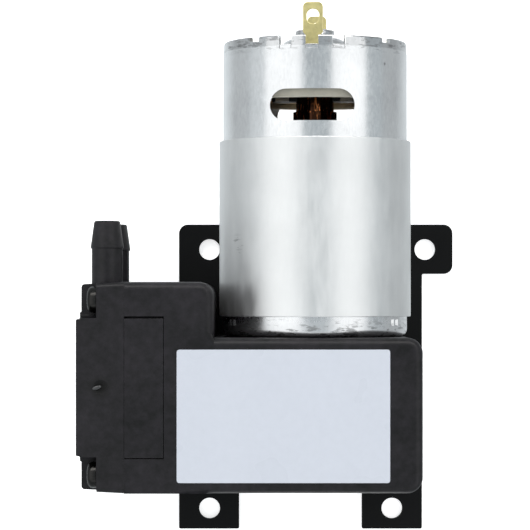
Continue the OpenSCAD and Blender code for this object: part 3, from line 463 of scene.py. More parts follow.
def round_block(name, low, high, radius, steps):
    """A block with its four upright edges rounded."""
    piece = block(name, low, high)
    spots = [(x, y) for x in (low[0], high[0]) for y in (low[1], high[1])]
    round_edges(piece, upright_at(*spots), radius, steps)
    return piece


def combine(piece, tools, how="DIFFERENCE"):
    """Tools cut from a piece, or added to it."""
    for tool in tools:
        take(piece)
        modifier = piece.modifiers.new("combine", "BOOLEAN")
        modifier.operation = how
        modifier.solver = "EXACT"
        modifier.object = tool
        bpy.ops.object.modifier_apply(modifier=modifier.name)
        bpy.data.objects.remove(tool)
    return piece


def soften(piece, radius, steps=3, angle=35):
    """Fine rounding of every sharp edge, then smooth shading with true flats."""
    take(piece)
    if radius:
        modifier = piece.modifiers.new("soft edges", "BEVEL")
        modifier.width = mm(radius)
        modifier.segments = steps
        modifier.limit_method = "ANGLE"
        modifier.angle_limit = math.radians(angle)
        modifier.miter_outer = "MITER_ARC"
        bpy.ops.object.modifier_apply(modifier=modifier.name)
    bpy.ops.object.shade_smooth_by_angle(angle=math.radians(angle))
    modifier = piece.modifiers.new("true flats", "WEIGHTED_NORMAL")
    modifier.keep_sharp = True
    modifier.weight = 100
    bpy.ops.object.modifier_apply(modifier=modifier.name)
    return piece


def copy_of(piece, way=(0, 0, 0), turn=None):
    """A copy with its own mesh, turned about the origin and then moved."""
    twin = piece.copy()
    twin.data = piece.data.copy()
    bpy.context.collection.objects.link(twin)
    if turn:
        twin.data.transform(turn)
    twin.data.transform(Matrix.Translation(mm(*way)))
    return twin


def one_piece(name, parts):
    """Several meshes joined under one name."""
    take(parts[0])
    for part in parts:
        part.select_set(True)
    bpy.ops.object.join()
    return settle(bpy.context.object, name)


def fit_out(piece, finish, slot, *nodes, body="housing"):
    """A finished piece gets its material, rides on a body and stands for CAD nodes; its slot is not
    used.
    """
    piece.data.materials.clear()
    piece.data.materials.append(finish)
    for face in piece.data.polygons:
        face.material_index = 0
    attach(piece, body)
    if nodes:
        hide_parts(*nodes)


# The pump's own sizes, as in the CAD frame: millimetres, and degrees for angles

CASE_LOW, CASE_HIGH = corners("crankcase")
BLOCK_LOW, BLOCK_HIGH = corners("chamber_block")
HEAD_LOW, HEAD_HIGH = corners("pump_head")
PLATE_LOW, PLATE_HIGH = corners("mounting_bracket")
LABEL_LOW, LABEL_HIGH = corners("rating_label")
CAN_LOW, CAN_HIGH = corners("motor_can")
RING_LOW, RING_HIGH = corners("flux_ring")

AXIS_Z = (CAN_LOW.z + CAN_HIGH.z) / 2
CAN_R = (CAN_HIGH.x - CAN_LOW.x) / 2
BOSS_LONG = 4.6
CAN_FACE = CAN_LOW.y + BOSS_LONG
CAN_LEN = CAN_HIGH.y - CAN_FACE
CAN_IN = CAN_R - 1
CHAMBER_Y = -0.45
JOINT_X = CASE_LOW.x
TOWER_X = -19.345
TWIST = -3
TERMINAL_OFF = CAN_R - 5.9
MOTOR_SCREW_OFF = 12.5
SHAFT_HOLE_R = 2.19
THREAD_R = 1.55
WINDOW_Y = CAN_HIGH.y - 13.1
EAR_ANGLES = (-16.5, 0, 16.5, 163.5, 180, 196.5)
NICK_ANGLES = (-38.5, 51.5, 141.5, 231.5)
DENT_ANGLES = (-60, 60, 120, 240)

INSERT_DEEP, INSERT_HALF = 7.45, 13.35
FLANGE_X = JOINT_X - 5.2
HEAD_HALF_Y, HEAD_HALF_Z = 19.85, 19.25
HEAD_DRAFT = 0.4
BAND_HALF = 12.85
BARB_X, BARB_OFF = JOINT_X - 3.6, 11.5
HEAD_SCREWS = [(CHAMBER_Y + y, AXIS_Z + z) for y in (-16.5, 16.5) for z in (-15.95, 15.95)]

BRACKET_SCREWS = ((-23.7, -15), (14.6, -15), (14.6, 3.1), (-23.7, 14.1))
PLATE_HOLES = ((-21, 26.25), (22.7, 26.25), (-21, -26.25), (16, -26.25))
FOOT_INNER = (PLATE_LOW.x + 12.2, 9.9)
PLATE_RIGHT = 22.1
NOTCH_Y = -18.4
LUG_Y = PLATE_HIGH.y - 10

# Places of wear
CAN_PIT = (13, 60.9, AXIS_Z + 12.3)
RING_SCUFF = (-15, 26.6, AXIS_Z + 11)


def about_motor(degrees):
    """A turn about the motor's axis."""
    lift = Matrix.Translation(mm(0, 0, AXIS_Z))
    return lift @ Matrix.Rotation(math.radians(degrees), 4, "Y") @ lift.inverted()


def turn_mesh(piece, matrix):
    """The piece's mesh turned, with its object left at the origin."""
    piece.data.transform(matrix)
    return piece


def model_bracket(sizes):
    """Flat steel bracket: plate, two feet, side lug, holes and countersinks."""
    plate = block("bracket_plate", (PLATE_LOW.x, NOTCH_Y, 0),
                  (PLATE_RIGHT, PLATE_HIGH.y, PLATE_HIGH.z))
    for x in FOOT_INNER:
        slice_at(plate, (x, 0, 0), (1, 0, 0))
    slice_at(plate, (0, LUG_Y, 0), (0, 1, 0))

    def foot_end(middle, facing):
        return facing.y < -ALONG and not FOOT_INNER[0] < middle.x < FOOT_INNER[1]

    def lug_end(middle, facing):
        return facing.x > ALONG and middle.y > LUG_Y and middle.x > PLATE_RIGHT - 1

    pull(plate, foot_end, (0, PLATE_LOW.y - NOTCH_Y, 0))
    pull(plate, lug_end, (PLATE_HIGH.x - PLATE_RIGHT, 0, 0))
    round_edges(plate, upright_at((PLATE_LOW.x, PLATE_HIGH.y), (PLATE_HIGH.x, PLATE_HIGH.y),
                                  (PLATE_HIGH.x, LUG_Y)), 1.8, 8)
    feet = [(x, PLATE_LOW.y) for x in (PLATE_LOW.x, *FOOT_INNER, PLATE_RIGHT)]
    inner = [(FOOT_INNER[0], NOTCH_Y), (FOOT_INNER[1], NOTCH_Y), (PLATE_RIGHT, LUG_Y)]
    round_edges(plate, upright_at(*feet, *inner), 0.3, 3)
    tools = [rod("hole", 2.1, (x, y, -1), (x, y, 3)) for x, y in PLATE_HOLES]
    for x, y in BRACKET_SCREWS:
        tools.append(rod("screw_hole", THREAD_R, (x, y, -1), (x, y, 3)))
        tools.append(rod("countersink", 2.95, (x, y, -0.05), (x, y, 1.35), tip=THREAD_R))
    combine(plate, tools)
    return soften(plate, sizes.coated_edge / MM, 2)


def model_case(sizes):
    """Moulded housing: low block with a tower, hollow, with the slot for the chamber block."""
    case = block("pump_housing", CASE_LOW, (CASE_HIGH.x, CAN_FACE, CASE_HIGH.z))
    slice_at(case, (TOWER_X, 0, 0), (1, 0, 0))
    pull(case, lambda middle, facing: facing.y > ALONG and middle.x < TOWER_X,
         (0, CASE_HIGH.y - CAN_FACE, 0))
    round_edges(case, upright_at((CASE_HIGH.x, CASE_LOW.y), (CASE_HIGH.x, CAN_FACE),
                                 (TOWER_X, CASE_HIGH.y)), 2.9, 10)
    top = CASE_HIGH.z

    def upper_rim(a, b):
        at_joint = max(a.x, b.x) < JOINT_X + CLOSE
        at_cut = abs(a.x - TOWER_X) < CLOSE and min(a.y, b.y) < CAN_FACE - CLOSE
        return min(a.z, b.z) > top - CLOSE and not at_joint and not at_cut

    round_edges(case, upper_rim, sizes.case_edge / MM, 8)
    floor, roof, wall = 3.5, top - 2.5, 2.5
    room = [block("room", (-26.5, CASE_LOW.y + wall, floor - 1),
                  (CASE_HIGH.x - wall, CAN_FACE - 3, roof)),
            block("tower_room", (-26.5, CASE_LOW.y + wall + 1, floor - 0.9),
                  (TOWER_X - wall, 16.9, roof - 0.001))]
    slot = block("slot", (JOINT_X - 1, CHAMBER_Y - INSERT_HALF, 0.5),
                 (JOINT_X + INSERT_DEEP, BLOCK_HIGH.y + 0.03, top + 1))
    seam = block("seam", (JOINT_X - 1, BLOCK_HIGH.y - 0.5, top - 2.5),
                 (JOINT_X + INSERT_DEEP, CHAMBER_Y + INSERT_HALF, top + 1))
    step = [block("step", (-27.7, CASE_LOW.y + 1.3, 0.5),
                  (CASE_HIGH.x - 1.3, CAN_FACE - 1.8, floor)),
            block("tower_step", (-27.7, CASE_LOW.y + 2, 0.6),
                  (TOWER_X - 1.3, 18.1, floor - 0.001))]
    bore = [rod("rod_opening", 9.9, (-27, CHAMBER_Y, AXIS_Z), (-38, CHAMBER_Y, AXIS_Z)),
            rod("boss_seat", 6.55, (0, CAN_FACE - 4, AXIS_Z), (0, CAN_FACE + 2, AXIS_Z))]
    bore += [rod("screw_seat", THREAD_R, (0, CAN_FACE - 4, z), (0, CAN_FACE + 2, z), sides=24)
             for z in (AXIS_Z - MOTOR_SCREW_OFF, AXIS_Z + MOTOR_SCREW_OFF)]
    bore += [rod("head_thread", THREAD_R, (JOINT_X - 1, y, z), (JOINT_X + 7.5, y, z), sides=24)
             for y, z in HEAD_SCREWS]
    combine(case, [*room, slot, seam, *step, *bore])
    bosses = [rod("boss", 3.5, (x, y, floor), (x, y, floor + 8.5), sides=32)
              for x, y in BRACKET_SCREWS]
    combine(case, bosses, "UNION")
    combine(case, [rod("thread", THREAD_R, (x, y, 0), (x, y, 10), sides=24)
                   for x, y in BRACKET_SCREWS])

    def slot_rim(a, b):
        in_slot = max(abs(a.y - CHAMBER_Y), abs(b.y - CHAMBER_Y)) < INSERT_HALF + 0.05
        return min(a.z, b.z) > top - CLOSE and max(a.x, b.x) < JOINT_X + 7.5 and in_slot

    round_edges(case, slot_rim, 0.12, 2)
    return soften(case, 0)


def model_chamber_block():
    """Insert between housing and head, with the diaphragm's chamber."""
    piece = block("chamber_insert", BLOCK_LOW, BLOCK_HIGH)

    def level(a, b):
        return min(a.z, b.z) > BLOCK_HIGH.z - CLOSE or max(a.z, b.z) < BLOCK_LOW.z + CLOSE

    round_edges(piece, level, 0.15, 3)
    mid = (CHAMBER_Y, AXIS_Z)
    combine(piece, [rod("chamber", 10.75, (JOINT_X - 1, *mid), (JOINT_X + 9, *mid), sides=96),
                    rod("rim_seat", 12.45, (BLOCK_HIGH.x - 1.4, *mid), (BLOCK_HIGH.x + 1, *mid),
                        sides=96)])
    return soften(piece, 0)


def model_head():
    """Square head with drafted sides, four screw pockets, a raised band and two hose barbs."""
    outer = HEAD_LOW.x + 0.65
    head = block("head_body", (outer, CHAMBER_Y - HEAD_HALF_Y, HEAD_LOW.z),
                 (JOINT_X, CHAMBER_Y + HEAD_HALF_Y, HEAD_HIGH.z))
    squeeze(head, lambda middle, facing: facing.x < -ALONG,
            (1, 1 - HEAD_DRAFT / HEAD_HALF_Y, 1 - HEAD_DRAFT / HEAD_HALF_Z),
            (outer, CHAMBER_Y, AXIS_Z))

    def along(a, b):
        return abs(a.x - b.x) > 5

    def outline(a, b):
        return max(a.x, b.x) < outer + 0.3 and abs(a.x - b.x) < CLOSE

    round_edges(head, along, 1, 6)
    round_edges(head, outline, 0.6, 5)
    pockets = []
    for side in (-1, 1):
        for level in (-1, 1):
            y, z = CHAMBER_Y + side * HEAD_HALF_Y, AXIS_Z + level * HEAD_HALF_Z
            pocket = block("pocket", (outer - 2, y - 6.8, z - 6.2), (FLANGE_X, y + 6.8, z + 6.2))
            round_edges(pocket, lambda a, b: abs(a.x - b.x) > 3, 1.2, 6)
            pockets.append(pocket)
    combine(head, pockets)
    band = block("band", (HEAD_LOW.x, CHAMBER_Y - BAND_HALF, HEAD_LOW.z + 0.4),
                 (JOINT_X - 2, CHAMBER_Y + BAND_HALF, HEAD_HIGH.z - 0.4))
    round_edges(band, lambda a, b: max(a.x, b.x) < HEAD_LOW.x + CLOSE, 0.25, 3)
    barbs = [turned("barb", (BARB_X, CHAMBER_Y + HEAD_HALF_Y - 1, AXIS_Z + level), (0, 1, 0), [
        (2.925, 0), (2.925, 7.2), (3.0, 7.42), (3.125, 7.5), (3.125, 7.8), (2.5, 12.35),
        (2.38, 12.55), (2.2, 12.65)], 64) for level in (-BARB_OFF, BARB_OFF)]
    pads = []
    for side in (-1, 1):
        y = CHAMBER_Y + side * BAND_HALF
        pad = block("pad", (outer - 0.3, min(y, y + side * 1.35), AXIS_Z - 13.2),
                    (outer + 1.5, max(y, y + side * 1.35), AXIS_Z + 13.2))
        round_edges(pad, lambda a, b: max(a.x, b.x) < outer, 0.2, 2)
        pads.append(pad)
    combine(head, [band, *pads, *barbs], "UNION")
    inner = [block("plate_seat", (JOINT_X - 1.8, CHAMBER_Y - 9.45, AXIS_Z - 14.25),
                   (JOINT_X + 1, CHAMBER_Y + 9.45, AXIS_Z + 14.25))]
    for level in (-7.15, 7.15):
        inner.append(block("air_chamber", (JOINT_X - 6.6, CHAMBER_Y - 8, AXIS_Z + level - 6.15),
                           (JOINT_X + 0.9, CHAMBER_Y + 8, AXIS_Z + level + 6.15)))
    for level in (-BARB_OFF, BARB_OFF):
        inner.append(rod("barb_bore", 1.6, (BARB_X, CHAMBER_Y + 1, AXIS_Z + level),
                         (BARB_X, CHAMBER_Y + 33, AXIS_Z + level), sides=48))
    inner += [rod("screw_hole", 1.6, (JOINT_X - 6, y, z), (JOINT_X + 1, y, z), sides=32)
              for y, z in HEAD_SCREWS]
    inner.append(turned("gate", (FLANGE_X + 0.75, CHAMBER_Y + 0.1, HEAD_HIGH.z + 2.1), (0, 0, 1),
                        arc(0, 0, 2.7, -88, -40, 14), 48))
    combine(head, inner)

    def joint_edge(a, b):
        return min(a.z, b.z) > HEAD_HIGH.z - CLOSE and min(a.x, b.x) > JOINT_X - CLOSE

    round_edges(head, joint_edge, 0.1, 2)
    return soften(head, 0)


def model_gate_scar():
    """Torn mark that the moulding gate left in its dimple."""
    scar = turned("gate_scar", (0, 0, 0), (0, 0, 1), arc(0, 0, 1, -85, 85, 12), 32)
    scar.scale = (0.9, 0.36, 0.2)
    scar.rotation_euler = (0, 0, math.radians(16))
    scar.location = mm(FLANGE_X + 0.1, CHAMBER_Y, HEAD_HIGH.z - 0.33)
    return soften(settle(scar, "gate_scar"), 0)


def model_diaphragm_rim():
    """Clamped rim of the diaphragm, cut off at the roll that flexes with the rod."""
    rim = turned("diaphragm_rim", (JOINT_X, CHAMBER_Y, AXIS_Z), (-1, 0, 0), [
        (12.25, -7.45), (12.4, -7.3), (12.4, -6.2), (12.25, -6.05), (9.6, -6.05), (9.36, -6.15),
        (9.25, -6.4), (9.25, -7.15), (9.36, -7.37), (9.55, -7.45)], 96, hollow=True)
    return soften(rim, 0)


def model_diaphragm_middle():
    """Middle of the diaphragm, clamped between the rod's flange and the washer."""
    middle = turned("diaphragm_middle", (JOINT_X, CHAMBER_Y, AXIS_Z), (-1, 0, 0), [
        (6.9, -9.45), (7.06, -9.37), (7.1, -9.2), (7.1, -8.3), (7.06, -8.13), (6.9, -8.05),
        (1.6, -8.05), (1.6, -9.45)], 96, hollow=True)
    return soften(middle, 0)


def model_head_screws():
    """Four pan head screws with a cross recess, in the corner pockets."""
    screw = turned("head_screw", (0, 0, 0), (-1, 0, 0), [
        (1.3, -11.5), (1.5, -11.2), (1.5, 0), (2.35, 0), (2.5, 0.12), (2.5, 0.9), (2.4, 1.25),
        (2.15, 1.58), (1.75, 1.8), (1.2, 1.9)], 64)
    recess = []
    for width, length in ((0.4, 1.4), (1.4, 0.4)):
        bar = block("recess", (-2.4, -width, -length), (-0.9, width, length))
        squeeze(bar, lambda middle, facing: facing.x > ALONG, (1, 0.6, 0.6))
        recess.append(bar)
    combine(screw, recess)
    soften(screw, 0, angle=30)
    copies = [copy_of(screw, (FLANGE_X, y, z), Matrix.Rotation(math.radians(angle), 4, "X"))
              for (y, z), angle in zip(HEAD_SCREWS, (12, 51, 77, 33))]
    bpy.data.objects.remove(screw)
    return one_piece("cover_screws", copies)


def model_bracket_screws():
    """Four countersunk screws that hold the housing from below."""
    screw = turned("bracket_screw", (0, 0, 0), (0, 0, 1), [
        (2.75, 0), (2.9, 0.12), (1.5, 1.4), (1.5, 7.6), (1.2, 8)], 48)
    recess = [block("recess", (-w, -l, -1), (w, l, 0.9)) for w, l in ((0.4, 1.4), (1.4, 0.4))]
    combine(screw, recess)
    soften(screw, 0, angle=30)
    copies = [copy_of(screw, (x, y, 0), Matrix.Rotation(math.radians(20 * i), 4, "Z"))
              for i, (x, y) in enumerate(BRACKET_SCREWS)]
    bpy.data.objects.remove(screw)
    return one_piece("plate_screws", copies)


def model_label():
    """Bare film label on the housing."""
    return soften(round_block("label_film", LABEL_LOW, LABEL_HIGH, 0.5, 5), 0.04, 2)


def model_can():
    """Drawn steel can with its bearing boss, two vent windows, dimples and a notched rim."""
    can = turned("can_shell", (0, CAN_FACE, AXIS_Z), (0, 1, 0), [
        (6.5, -BOSS_LONG), (6.5, 0), *arc(CAN_R - 1.5, 1.5, 1.5, -90, 0), (CAN_R, CAN_LEN - 2.1),
        (CAN_R - 0.09, CAN_LEN - 1.95), (CAN_R - 0.09, CAN_LEN - 0.3), (CAN_R - 0.3, CAN_LEN),
        (CAN_IN + 0.15, CAN_LEN), (CAN_IN, CAN_LEN - 0.15), (CAN_IN, 1.3), (16.5, 1), (5.55, 1),
        (5.55, -4)], 192)
    tools = [rod("shaft_hole", SHAFT_HOLE_R, (0, CAN_FACE - 6, AXIS_Z), (0, CAN_FACE - 3, AXIS_Z))]
    tools += [rod("screw_hole", THREAD_R, (0, CAN_FACE - 1, z), (0, CAN_FACE + 2, z), sides=24)
              for z in (AXIS_Z - MOTOR_SCREW_OFF, AXIS_Z + MOTOR_SCREW_OFF)]
    window = round_block("window", (-8, WINDOW_Y - 3, AXIS_Z - 30),
                         (8, WINDOW_Y + 3, AXIS_Z + 30), 2.98, 12)
    tools.append(turn_mesh(window, about_motor(TWIST)))
    for cut, angles, half, deep in (("notch", EAR_ANGLES, 1.2, 2.5),
                                    ("nick", NICK_ANGLES, 1.15, 0.95)):
        for angle in angles:
            tool = block(cut, (-half, CAN_HIGH.y - deep, AXIS_Z + CAN_IN - 1),
                         (half, CAN_HIGH.y + 1, AXIS_Z + CAN_R + 1))
            tools.append(turn_mesh(tool, about_motor(TWIST + angle)))
    for angle in DENT_ANGLES:
        for side in (-2.6, 2.6):
            dent = block("dent", (-0.7, CAN_FACE + 2.1, AXIS_Z + CAN_R - 0.34),
                         (0.7, CAN_FACE + 3.5, AXIS_Z + CAN_R + 0.1))
            squeeze(dent, lambda middle, facing: facing.z < -ALONG, (0.14, 0.6, 1),
                    (0, CAN_FACE + 2.8, 0))
            tools.append(turn_mesh(dent, about_motor(TWIST + angle + side)))
    combine(can, tools)
    return soften(can, 0)


def model_ring():
    """Rolled flux ring with rounded ends and its seam below."""
    outer, inner = CAN_R + 0.745, CAN_R + 0.025
    length = RING_HIGH.y - RING_LOW.y
    ring = turned("ring_strip", (0, RING_LOW.y, AXIS_Z), (0, 1, 0), [
        (outer - 0.2, 0), (outer - 0.06, 0.06), (outer, 0.2), (outer, length - 0.2),
        (outer - 0.06, length - 0.06), (outer - 0.2, length), (inner, length), (inner, 0)],
        192, hollow=True)
    combine(ring, [block("seam", (-0.2, RING_LOW.y - 1, AXIS_Z - CAN_R - 2),
                         (0.2, RING_HIGH.y + 1, AXIS_Z - CAN_R + 2))])
    return soften(ring, 0)


def model_end_cap():
    """Recessed end cap with its domed bearing cup and six ears in the can's notches."""
    top, rim, thick = CAN_LEN - 1.7, CAN_IN - 0.05, 0.8
    cap = turned("cap_plate", (0, CAN_FACE, AXIS_Z), (0, 1, 0), [
        (rim, top - thick), (rim, top - 0.1), (rim - 0.1, top), (7.4, top), (7.2, top + 0.2),
        *((radius, CAN_LEN + height) for radius, height in (
            (6.6, -0.1), (5.95, 0.65), (5.2, 1.15), (4.45, 1.42), (4.12, 1.6), (4, 1.85), (4, 2.2),
            (3.9, 2.45), (3.65, 2.6)))], 128)
    low, high = CAN_FACE + top - thick, CAN_FACE + top
    ears = []

    def outer_edge(a, b):
        return min(a.z, b.z) > AXIS_Z + CAN_R - 0.1 or min(a.y, b.y) > high - CLOSE

    for angle in EAR_ANGLES:
        ear = block("ear", (-1.15, low, AXIS_Z + CAN_IN - 1), (1.15, high, AXIS_Z + CAN_R - 0.05))
        round_edges(ear, outer_edge, 0.1, 3)
        ears.append(turn_mesh(ear, about_motor(angle)))
    combine(cap, ears, "UNION")
    tools = [rod("bearing_room", 3.2, (0, low - 1, AXIS_Z), (0, CAN_HIGH.y + 2, AXIS_Z)),
             rod("shaft_hole", SHAFT_HOLE_R, (0, CAN_HIGH.y, AXIS_Z), (0, CAN_HIGH.y + 4, AXIS_Z))]
    for side in (-1, 1):
        z = AXIS_Z + side * TERMINAL_OFF
        tools.append(block("terminal_slot", (-2.6, low - 1, z - 1.3), (2.6, high + 1, z + 1.3)))
        tools.append(rod("vent", 1.5, (side * TERMINAL_OFF, low - 1, AXIS_Z),
                         (side * TERMINAL_OFF, high + 1, AXIS_Z), sides=32))
    combine(cap, tools)
    turn_mesh(cap, about_motor(TWIST))
    return soften(cap, 0)


def model_terminal(name, side):
    """Stamped brass terminal: neck, wider end with round corners and a solder eye."""
    foot, neck_top, tip = CAN_HIGH.y - 10.5, CAN_HIGH.y + 0.6, CAN_HIGH.y + 6.8
    neck, wide, shoulder, eye_y = 1.5, 1.9, 0.5, tip - 2.75
    z = AXIS_Z + side * TERMINAL_OFF

    def upper_end(middle, facing):
        return facing.y > ALONG

    blade = block(name, (-neck, foot, z - 0.3), (neck, neck_top, z + 0.3))
    pull(blade, upper_end, (0, shoulder, 0), (wide / neck, 1, 1), (0, neck_top + shoulder, z))
    pull(blade, upper_end, (0, tip - neck_top - shoulder, 0))
    round_edges(blade, upright_at((-wide, tip), (wide, tip)), 0.9, 6)
    combine(blade, [round_block("eye", (-1.2, eye_y - 1.45, z - 1), (1.2, eye_y + 1.45, z + 1),
                                1.18, 8)])
    soften(blade, 0.1, 2)
    return turn_mesh(blade, about_motor(TWIST))


# Sizes and colours that a user may change

class PumpColours(bpy.types.PropertyGroup):
    """Colours of the pump's main finishes."""

    plastic: FloatVectorProperty(name="Plastic", description="Moulded housing and head",
                                 subtype="COLOR", size=3, min=0, max=1,
                                 default=(0.0076, 0.0064, 0.0083))
    coating: FloatVectorProperty(name="Bracket", description="Coating of the bracket",
                                 subtype="COLOR", size=3, min=0, max=1,
                                 default=(0.0025, 0.0025, 0.0027))
    can: FloatVectorProperty(name="Can", description="Plated steel of the motor can",
                             subtype="COLOR", size=3, min=0, max=1, default=(0.785, 0.785, 0.795))
    ring: FloatVectorProperty(name="Flux ring", description="Plated strip of the flux ring",
                              subtype="COLOR", size=3, min=0, max=1, default=(0.795, 0.795, 0.795))
    brass: FloatVectorProperty(name="Terminals", description="Brass of the terminals",
                               subtype="COLOR", size=3, min=0, max=1, default=(0.74, 0.64, 0.3))
    holder: FloatVectorProperty(name="Brush holder", description="Plastic of the brush holder",
                                subtype="COLOR", size=3, min=0, max=1, default=(0.44, 0.415, 0.35))
    label: FloatVectorProperty(name="Label", description="Film of the bare label", subtype="COLOR",
                               size=3, min=0, max=1, default=(0.59, 0.613, 0.68))


class PumpStudio(bpy.types.PropertyGroup):
    """Sizes and lights of the studio."""

    floor_width: FloatProperty(name="Floor", description="Width of the floor", subtype="DISTANCE",
                               unit="LENGTH", min=1, default=6)
    side_power: FloatProperty(name="Side lights",
                              description="Power of a side light for a metre of its width",
                              subtype="POWER", unit="POWER", min=0, default=3)
    end_power: FloatProperty(name="End lights", description="Power of the low lights at both ends",
                             subtype="POWER", unit="POWER", min=0, default=3.2)
    floor_glow: FloatProperty(name="Floor glow", description="Light from the floor itself",
                              min=0, default=0.7)
    sky: FloatProperty(name="Room light", description="Strength of the light from all sides",
                       min=0, default=0.56)


class PumpSizes(bpy.types.PropertyGroup):
    """Radii of the pump's soft edges."""

    case_edge: FloatProperty(name="Housing edge",
                             description="Rounding of the housing's upper edge",
                             subtype="DISTANCE", unit="LENGTH", min=0.0002, max=0.0025,
                             default=0.0015)
    coated_edge: FloatProperty(name="Bracket edge",
                               description="Rounding of the coated bracket's edges",
                               subtype="DISTANCE", unit="LENGTH", min=0.00005, max=0.0004,
                               default=0.00015)


# Steps of the model, one operator each; the first one fills FINISH for the others

FINISH = {}


class PUMP_OT_works(bpy.types.Operator):
    """Give every CAD node the finish of its slot"""

    bl_idname = "pump.works"
    bl_label = "Works"

    def execute(self, context):
        FINISH.update(finishes())
        dress_frame(FINISH)
        return {"FINISHED"}


class PUMP_OT_bracket(bpy.types.Operator):
    """Model the mounting bracket and its screws"""

    bl_idname = "pump.bracket"
    bl_label = "Bracket"

    def execute(self, context):
        bracket = model_bracket(context.scene.pump_sizes)
        fit_out(bracket, FINISH["black_paint"], "black_paint", "mounting_bracket")
        fit_out(model_bracket_screws(), FINISH["black_screw"], "black_screw", "bracket_screws")
        return {"FINISHED"}


class PUMP_OT_housing(bpy.types.Operator):
    """Model the housing and its chamber insert"""

    bl_idname = "pump.housing"
    bl_label = "Housing"

    def execute(self, context):
        case = model_case(context.scene.pump_sizes)
        fit_out(case, FINISH["black_plastic"], "black_plastic", "crankcase")
        fit_out(model_chamber_block(), FINISH["black_plastic"], "black_plastic", "chamber_block")
        return {"FINISHED"}


class PUMP_OT_head(bpy.types.Operator):
    """Model the head with its barbs, and its screws"""

    bl_idname = "pump.head"
    bl_label = "Head"

    def execute(self, context):
        fit_out(model_head(), FINISH["head_plastic"], "black_plastic", "pump_head")
        fit_out(model_gate_scar(), FINISH["gate_scar"], "black_plastic")
        fit_out(model_head_screws(), FINISH["black_screw"], "black_screw", "head_screws")
        return {"FINISHED"}


class PUMP_OT_diaphragm(bpy.types.Operator):
    """Model the diaphragm in two pieces: its middle moves with the rod and its rim stays"""

    bl_idname = "pump.diaphragm"
    bl_label = "Diaphragm"

    def execute(self, context):
        fit_out(model_diaphragm_rim(), FINISH["black_rubber"], "black_rubber", "diaphragm")
        fit_out(model_diaphragm_middle(), FINISH["black_rubber"], "black_rubber", body="rod")
        return {"FINISHED"}


class PUMP_OT_label(bpy.types.Operator):
    """Model the bare label"""

    bl_idname = "pump.label"
    bl_label = "Label"

    def execute(self, context):
        fit_out(model_label(), FINISH["label_film"], "label_film", "rating_label")
        return {"FINISHED"}


class PUMP_OT_motor(bpy.types.Operator):
    """Model the motor can and its flux ring"""

    bl_idname = "pump.motor"
    bl_label = "Motor can"

    def execute(self, context):
        fit_out(model_can(), FINISH["can_steel"], "can_steel", "motor_can")
        fit_out(model_ring(), FINISH["ring_steel"], "ring_steel", "flux_ring")
        return {"FINISHED"}


class PUMP_OT_motor_end(bpy.types.Operator):
    """Model the end cap and the terminals"""

    bl_idname = "pump.motor_end"
    bl_label = "Motor end"

    def execute(self, context):
        fit_out(model_end_cap(), FINISH["can_steel"], "can_steel", "end_cap")
        fit_out(model_terminal("front_blade", 1), FINISH["terminal_brass"], "terminal_brass",
                "terminal_front")
        fit_out(model_terminal("rear_blade", -1), FINISH["terminal_brass"], "terminal_brass",
                "terminal_rear")
        return {"FINISHED"}


# Side lights: name, degrees from straight above, width in metres, share of the full power
SIDE_LIGHTS = (("left", -40.2, 0.8, 1), ("right", 42.5, 0.74, 1), ("left_low", -76.5, 0.41, 0.27))
END_LIGHT_ANGLE = 52
LAMP_REACH = 0.9


class PUMP_OT_studio(bpy.types.Operator):
    """Set up the floor, the lights and the camera"""

    bl_idname = "pump.studio"
    bl_label = "Studio"

    def execute(self, context):
        studio = context.scene.pump_studio
        bpy.ops.object.select_all(action="DESELECT")
        bpy.ops.mesh.primitive_plane_add(size=studio.floor_width, location=(0, 0, mm(-0.02)))
        floor = context.object
        floor.name = "studio_floor"
        material, tree, shader = principled("studio floor")
        cloud = noise(tree, object_space(tree), 4, 2)
        tree.links.new(two_tone(tree, cloud, (0.93, 0.93, 0.93), (0.95, 0.95, 0.95)),
                       shader.inputs["Base Color"])
        shader.inputs["Roughness"].default_value = 0.7
        shader.inputs["Emission Color"].default_value = (1, 1, 1, 1)
        shader.inputs["Emission Strength"].default_value = studio.floor_glow
        floor.data.materials.append(material)
        for side, angle, span, share in SIDE_LIGHTS:
            turn = math.radians(angle)
            away = Vector((math.sin(turn), 0, math.cos(turn))) * LAMP_REACH
            add_lamp(f"studio_light_{side}", studio.side_power * span * share, 1.3, span, away)
        for side, sign in (("left", -1), ("right", 1)):
            add_card(f"studio_card_{side}", sign, 0.775 - sign * 0.075, 0.39 - sign * 0.035)
        for side, sign in (("back", 1), ("front", -1)):
            turn = sign * math.radians(END_LIGHT_ANGLE)
            away = Vector((0, math.sin(turn), math.cos(turn))) * LAMP_REACH
            add_lamp(f"studio_light_{side}", studio.end_power * (1 + sign * 0.75), 1.4, 0.25, away)
        world = bpy.data.worlds.new("studio room")
        world.use_nodes = True
        background = world.node_tree.nodes["Background"]
        background.inputs["Color"].default_value = (0.87, 0.96, 1, 1)
        background.inputs["Strength"].default_value = studio.sky
        context.scene.world = world
        context.scene.view_settings.view_transform = "Standard"
        bpy.ops.object.camera_add(location=CAMERA_SPOT, rotation=(0, 0, 0))
        camera = context.object
        camera.data.lens = CAMERA_LENS
        camera.data.sensor_width = 36
        camera.data.shift_y = CAMERA_SHIFT_Y
        camera.data.clip_start = 0.01
        camera.data.clip_end = 10
        context.scene.camera = camera
        return {"FINISHED"}


def add_lamp(name, power, width, length, away):
    """A soft rectangular light that faces the pump from a direction."""
    middle = mm(-9, 17, 20)
    bpy.ops.object.light_add(type="AREA", location=middle + away)
    lamp = bpy.context.object
    lamp.name = name
    lamp.data.shape = "RECTANGLE"
    lamp.data.size = width
    lamp.data.size_y = length
    lamp.data.energy = power
    lamp.data.color = (1, 0.975, 0.95)
    lamp.visible_camera = False
    lamp.rotation_mode = "QUATERNION"
    lamp.rotation_quaternion = away.to_track_quat("Z", "Y")
    return lamp


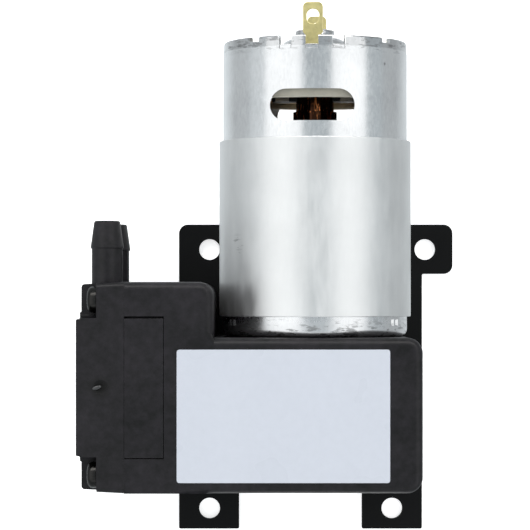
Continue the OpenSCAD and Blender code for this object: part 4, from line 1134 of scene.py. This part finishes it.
def add_card(name, sign, near, far):
    """A card on the floor beside the pump: only gloss shows it, and its glow fades outwards."""
    inner_edge, wide, long = 20, 2980, 5900
    spot = mm(sign * (inner_edge + wide / 2), 17, -0.01)
    bpy.ops.mesh.primitive_plane_add(size=1, location=spot)
    card = bpy.context.object
    card.name = name
    card.scale = (mm(wide), mm(long), 1)
    bpy.ops.object.transform_apply(location=True, scale=True)
    card.visible_camera = card.visible_diffuse = card.visible_shadow = False
    material = moulded(name.replace("_", " "), (0.1, 0.1, 0.1), 0.9, 20, 0.1)
    tree = material.node_tree
    across = tree.nodes.new("ShaderNodeSeparateXYZ")
    tree.links.new(object_space(tree, (sign, 1, 1)), across.inputs["Vector"])
    glow = spread(tree, across.outputs["X"], near, far, mm(25), mm(62))
    shader = tree.nodes["Principled BSDF"]
    shader.inputs["Emission Color"].default_value = (0.9, 0.97, 1, 1)
    tree.links.new(glow, shader.inputs["Emission Strength"])
    card.data.materials.append(material)
    return card


class PUMP_PT_sidebar(bpy.types.Panel):
    """Steps, sizes and colours of the vacuum pump"""

    bl_idname = "PUMP_PT_sidebar"
    bl_label = "Vacuum Pump"
    bl_space_type = "VIEW_3D"
    bl_region_type = "UI"
    bl_category = "Vacuum Pump"

    def draw(self, context):
        for step in STEPS:
            self.layout.operator(step.bl_idname)
        scene = context.scene
        for group in (scene.pump_colours, scene.pump_sizes, scene.pump_studio):
            for name in group.bl_rna.properties.keys():
                if name not in ("rna_type", "name"):
                    self.layout.prop(group, name)


STEPS = [PUMP_OT_works, PUMP_OT_bracket, PUMP_OT_housing, PUMP_OT_head, PUMP_OT_diaphragm,
         PUMP_OT_label, PUMP_OT_motor, PUMP_OT_motor_end, PUMP_OT_studio]
CLASSES = [PumpColours, PumpSizes, PumpStudio, *STEPS, PUMP_PT_sidebar]


def register():
    """Add the classes and the settings that they read."""
    for each in CLASSES:
        bpy.utils.register_class(each)
    bpy.types.Scene.pump_colours = PointerProperty(type=PumpColours)
    bpy.types.Scene.pump_sizes = PointerProperty(type=PumpSizes)
    bpy.types.Scene.pump_studio = PointerProperty(type=PumpStudio)


def unregister():
    """Take the settings and the classes away again."""
    del bpy.types.Scene.pump_studio
    del bpy.types.Scene.pump_sizes
    del bpy.types.Scene.pump_colours
    for each in reversed(CLASSES):
        bpy.utils.unregister_class(each)


def main():
    register()
    for step in STEPS:
        group, name = step.bl_idname.split(".")
        getattr(getattr(bpy.ops, group), name)()


if __name__ == "__main__":
    main()
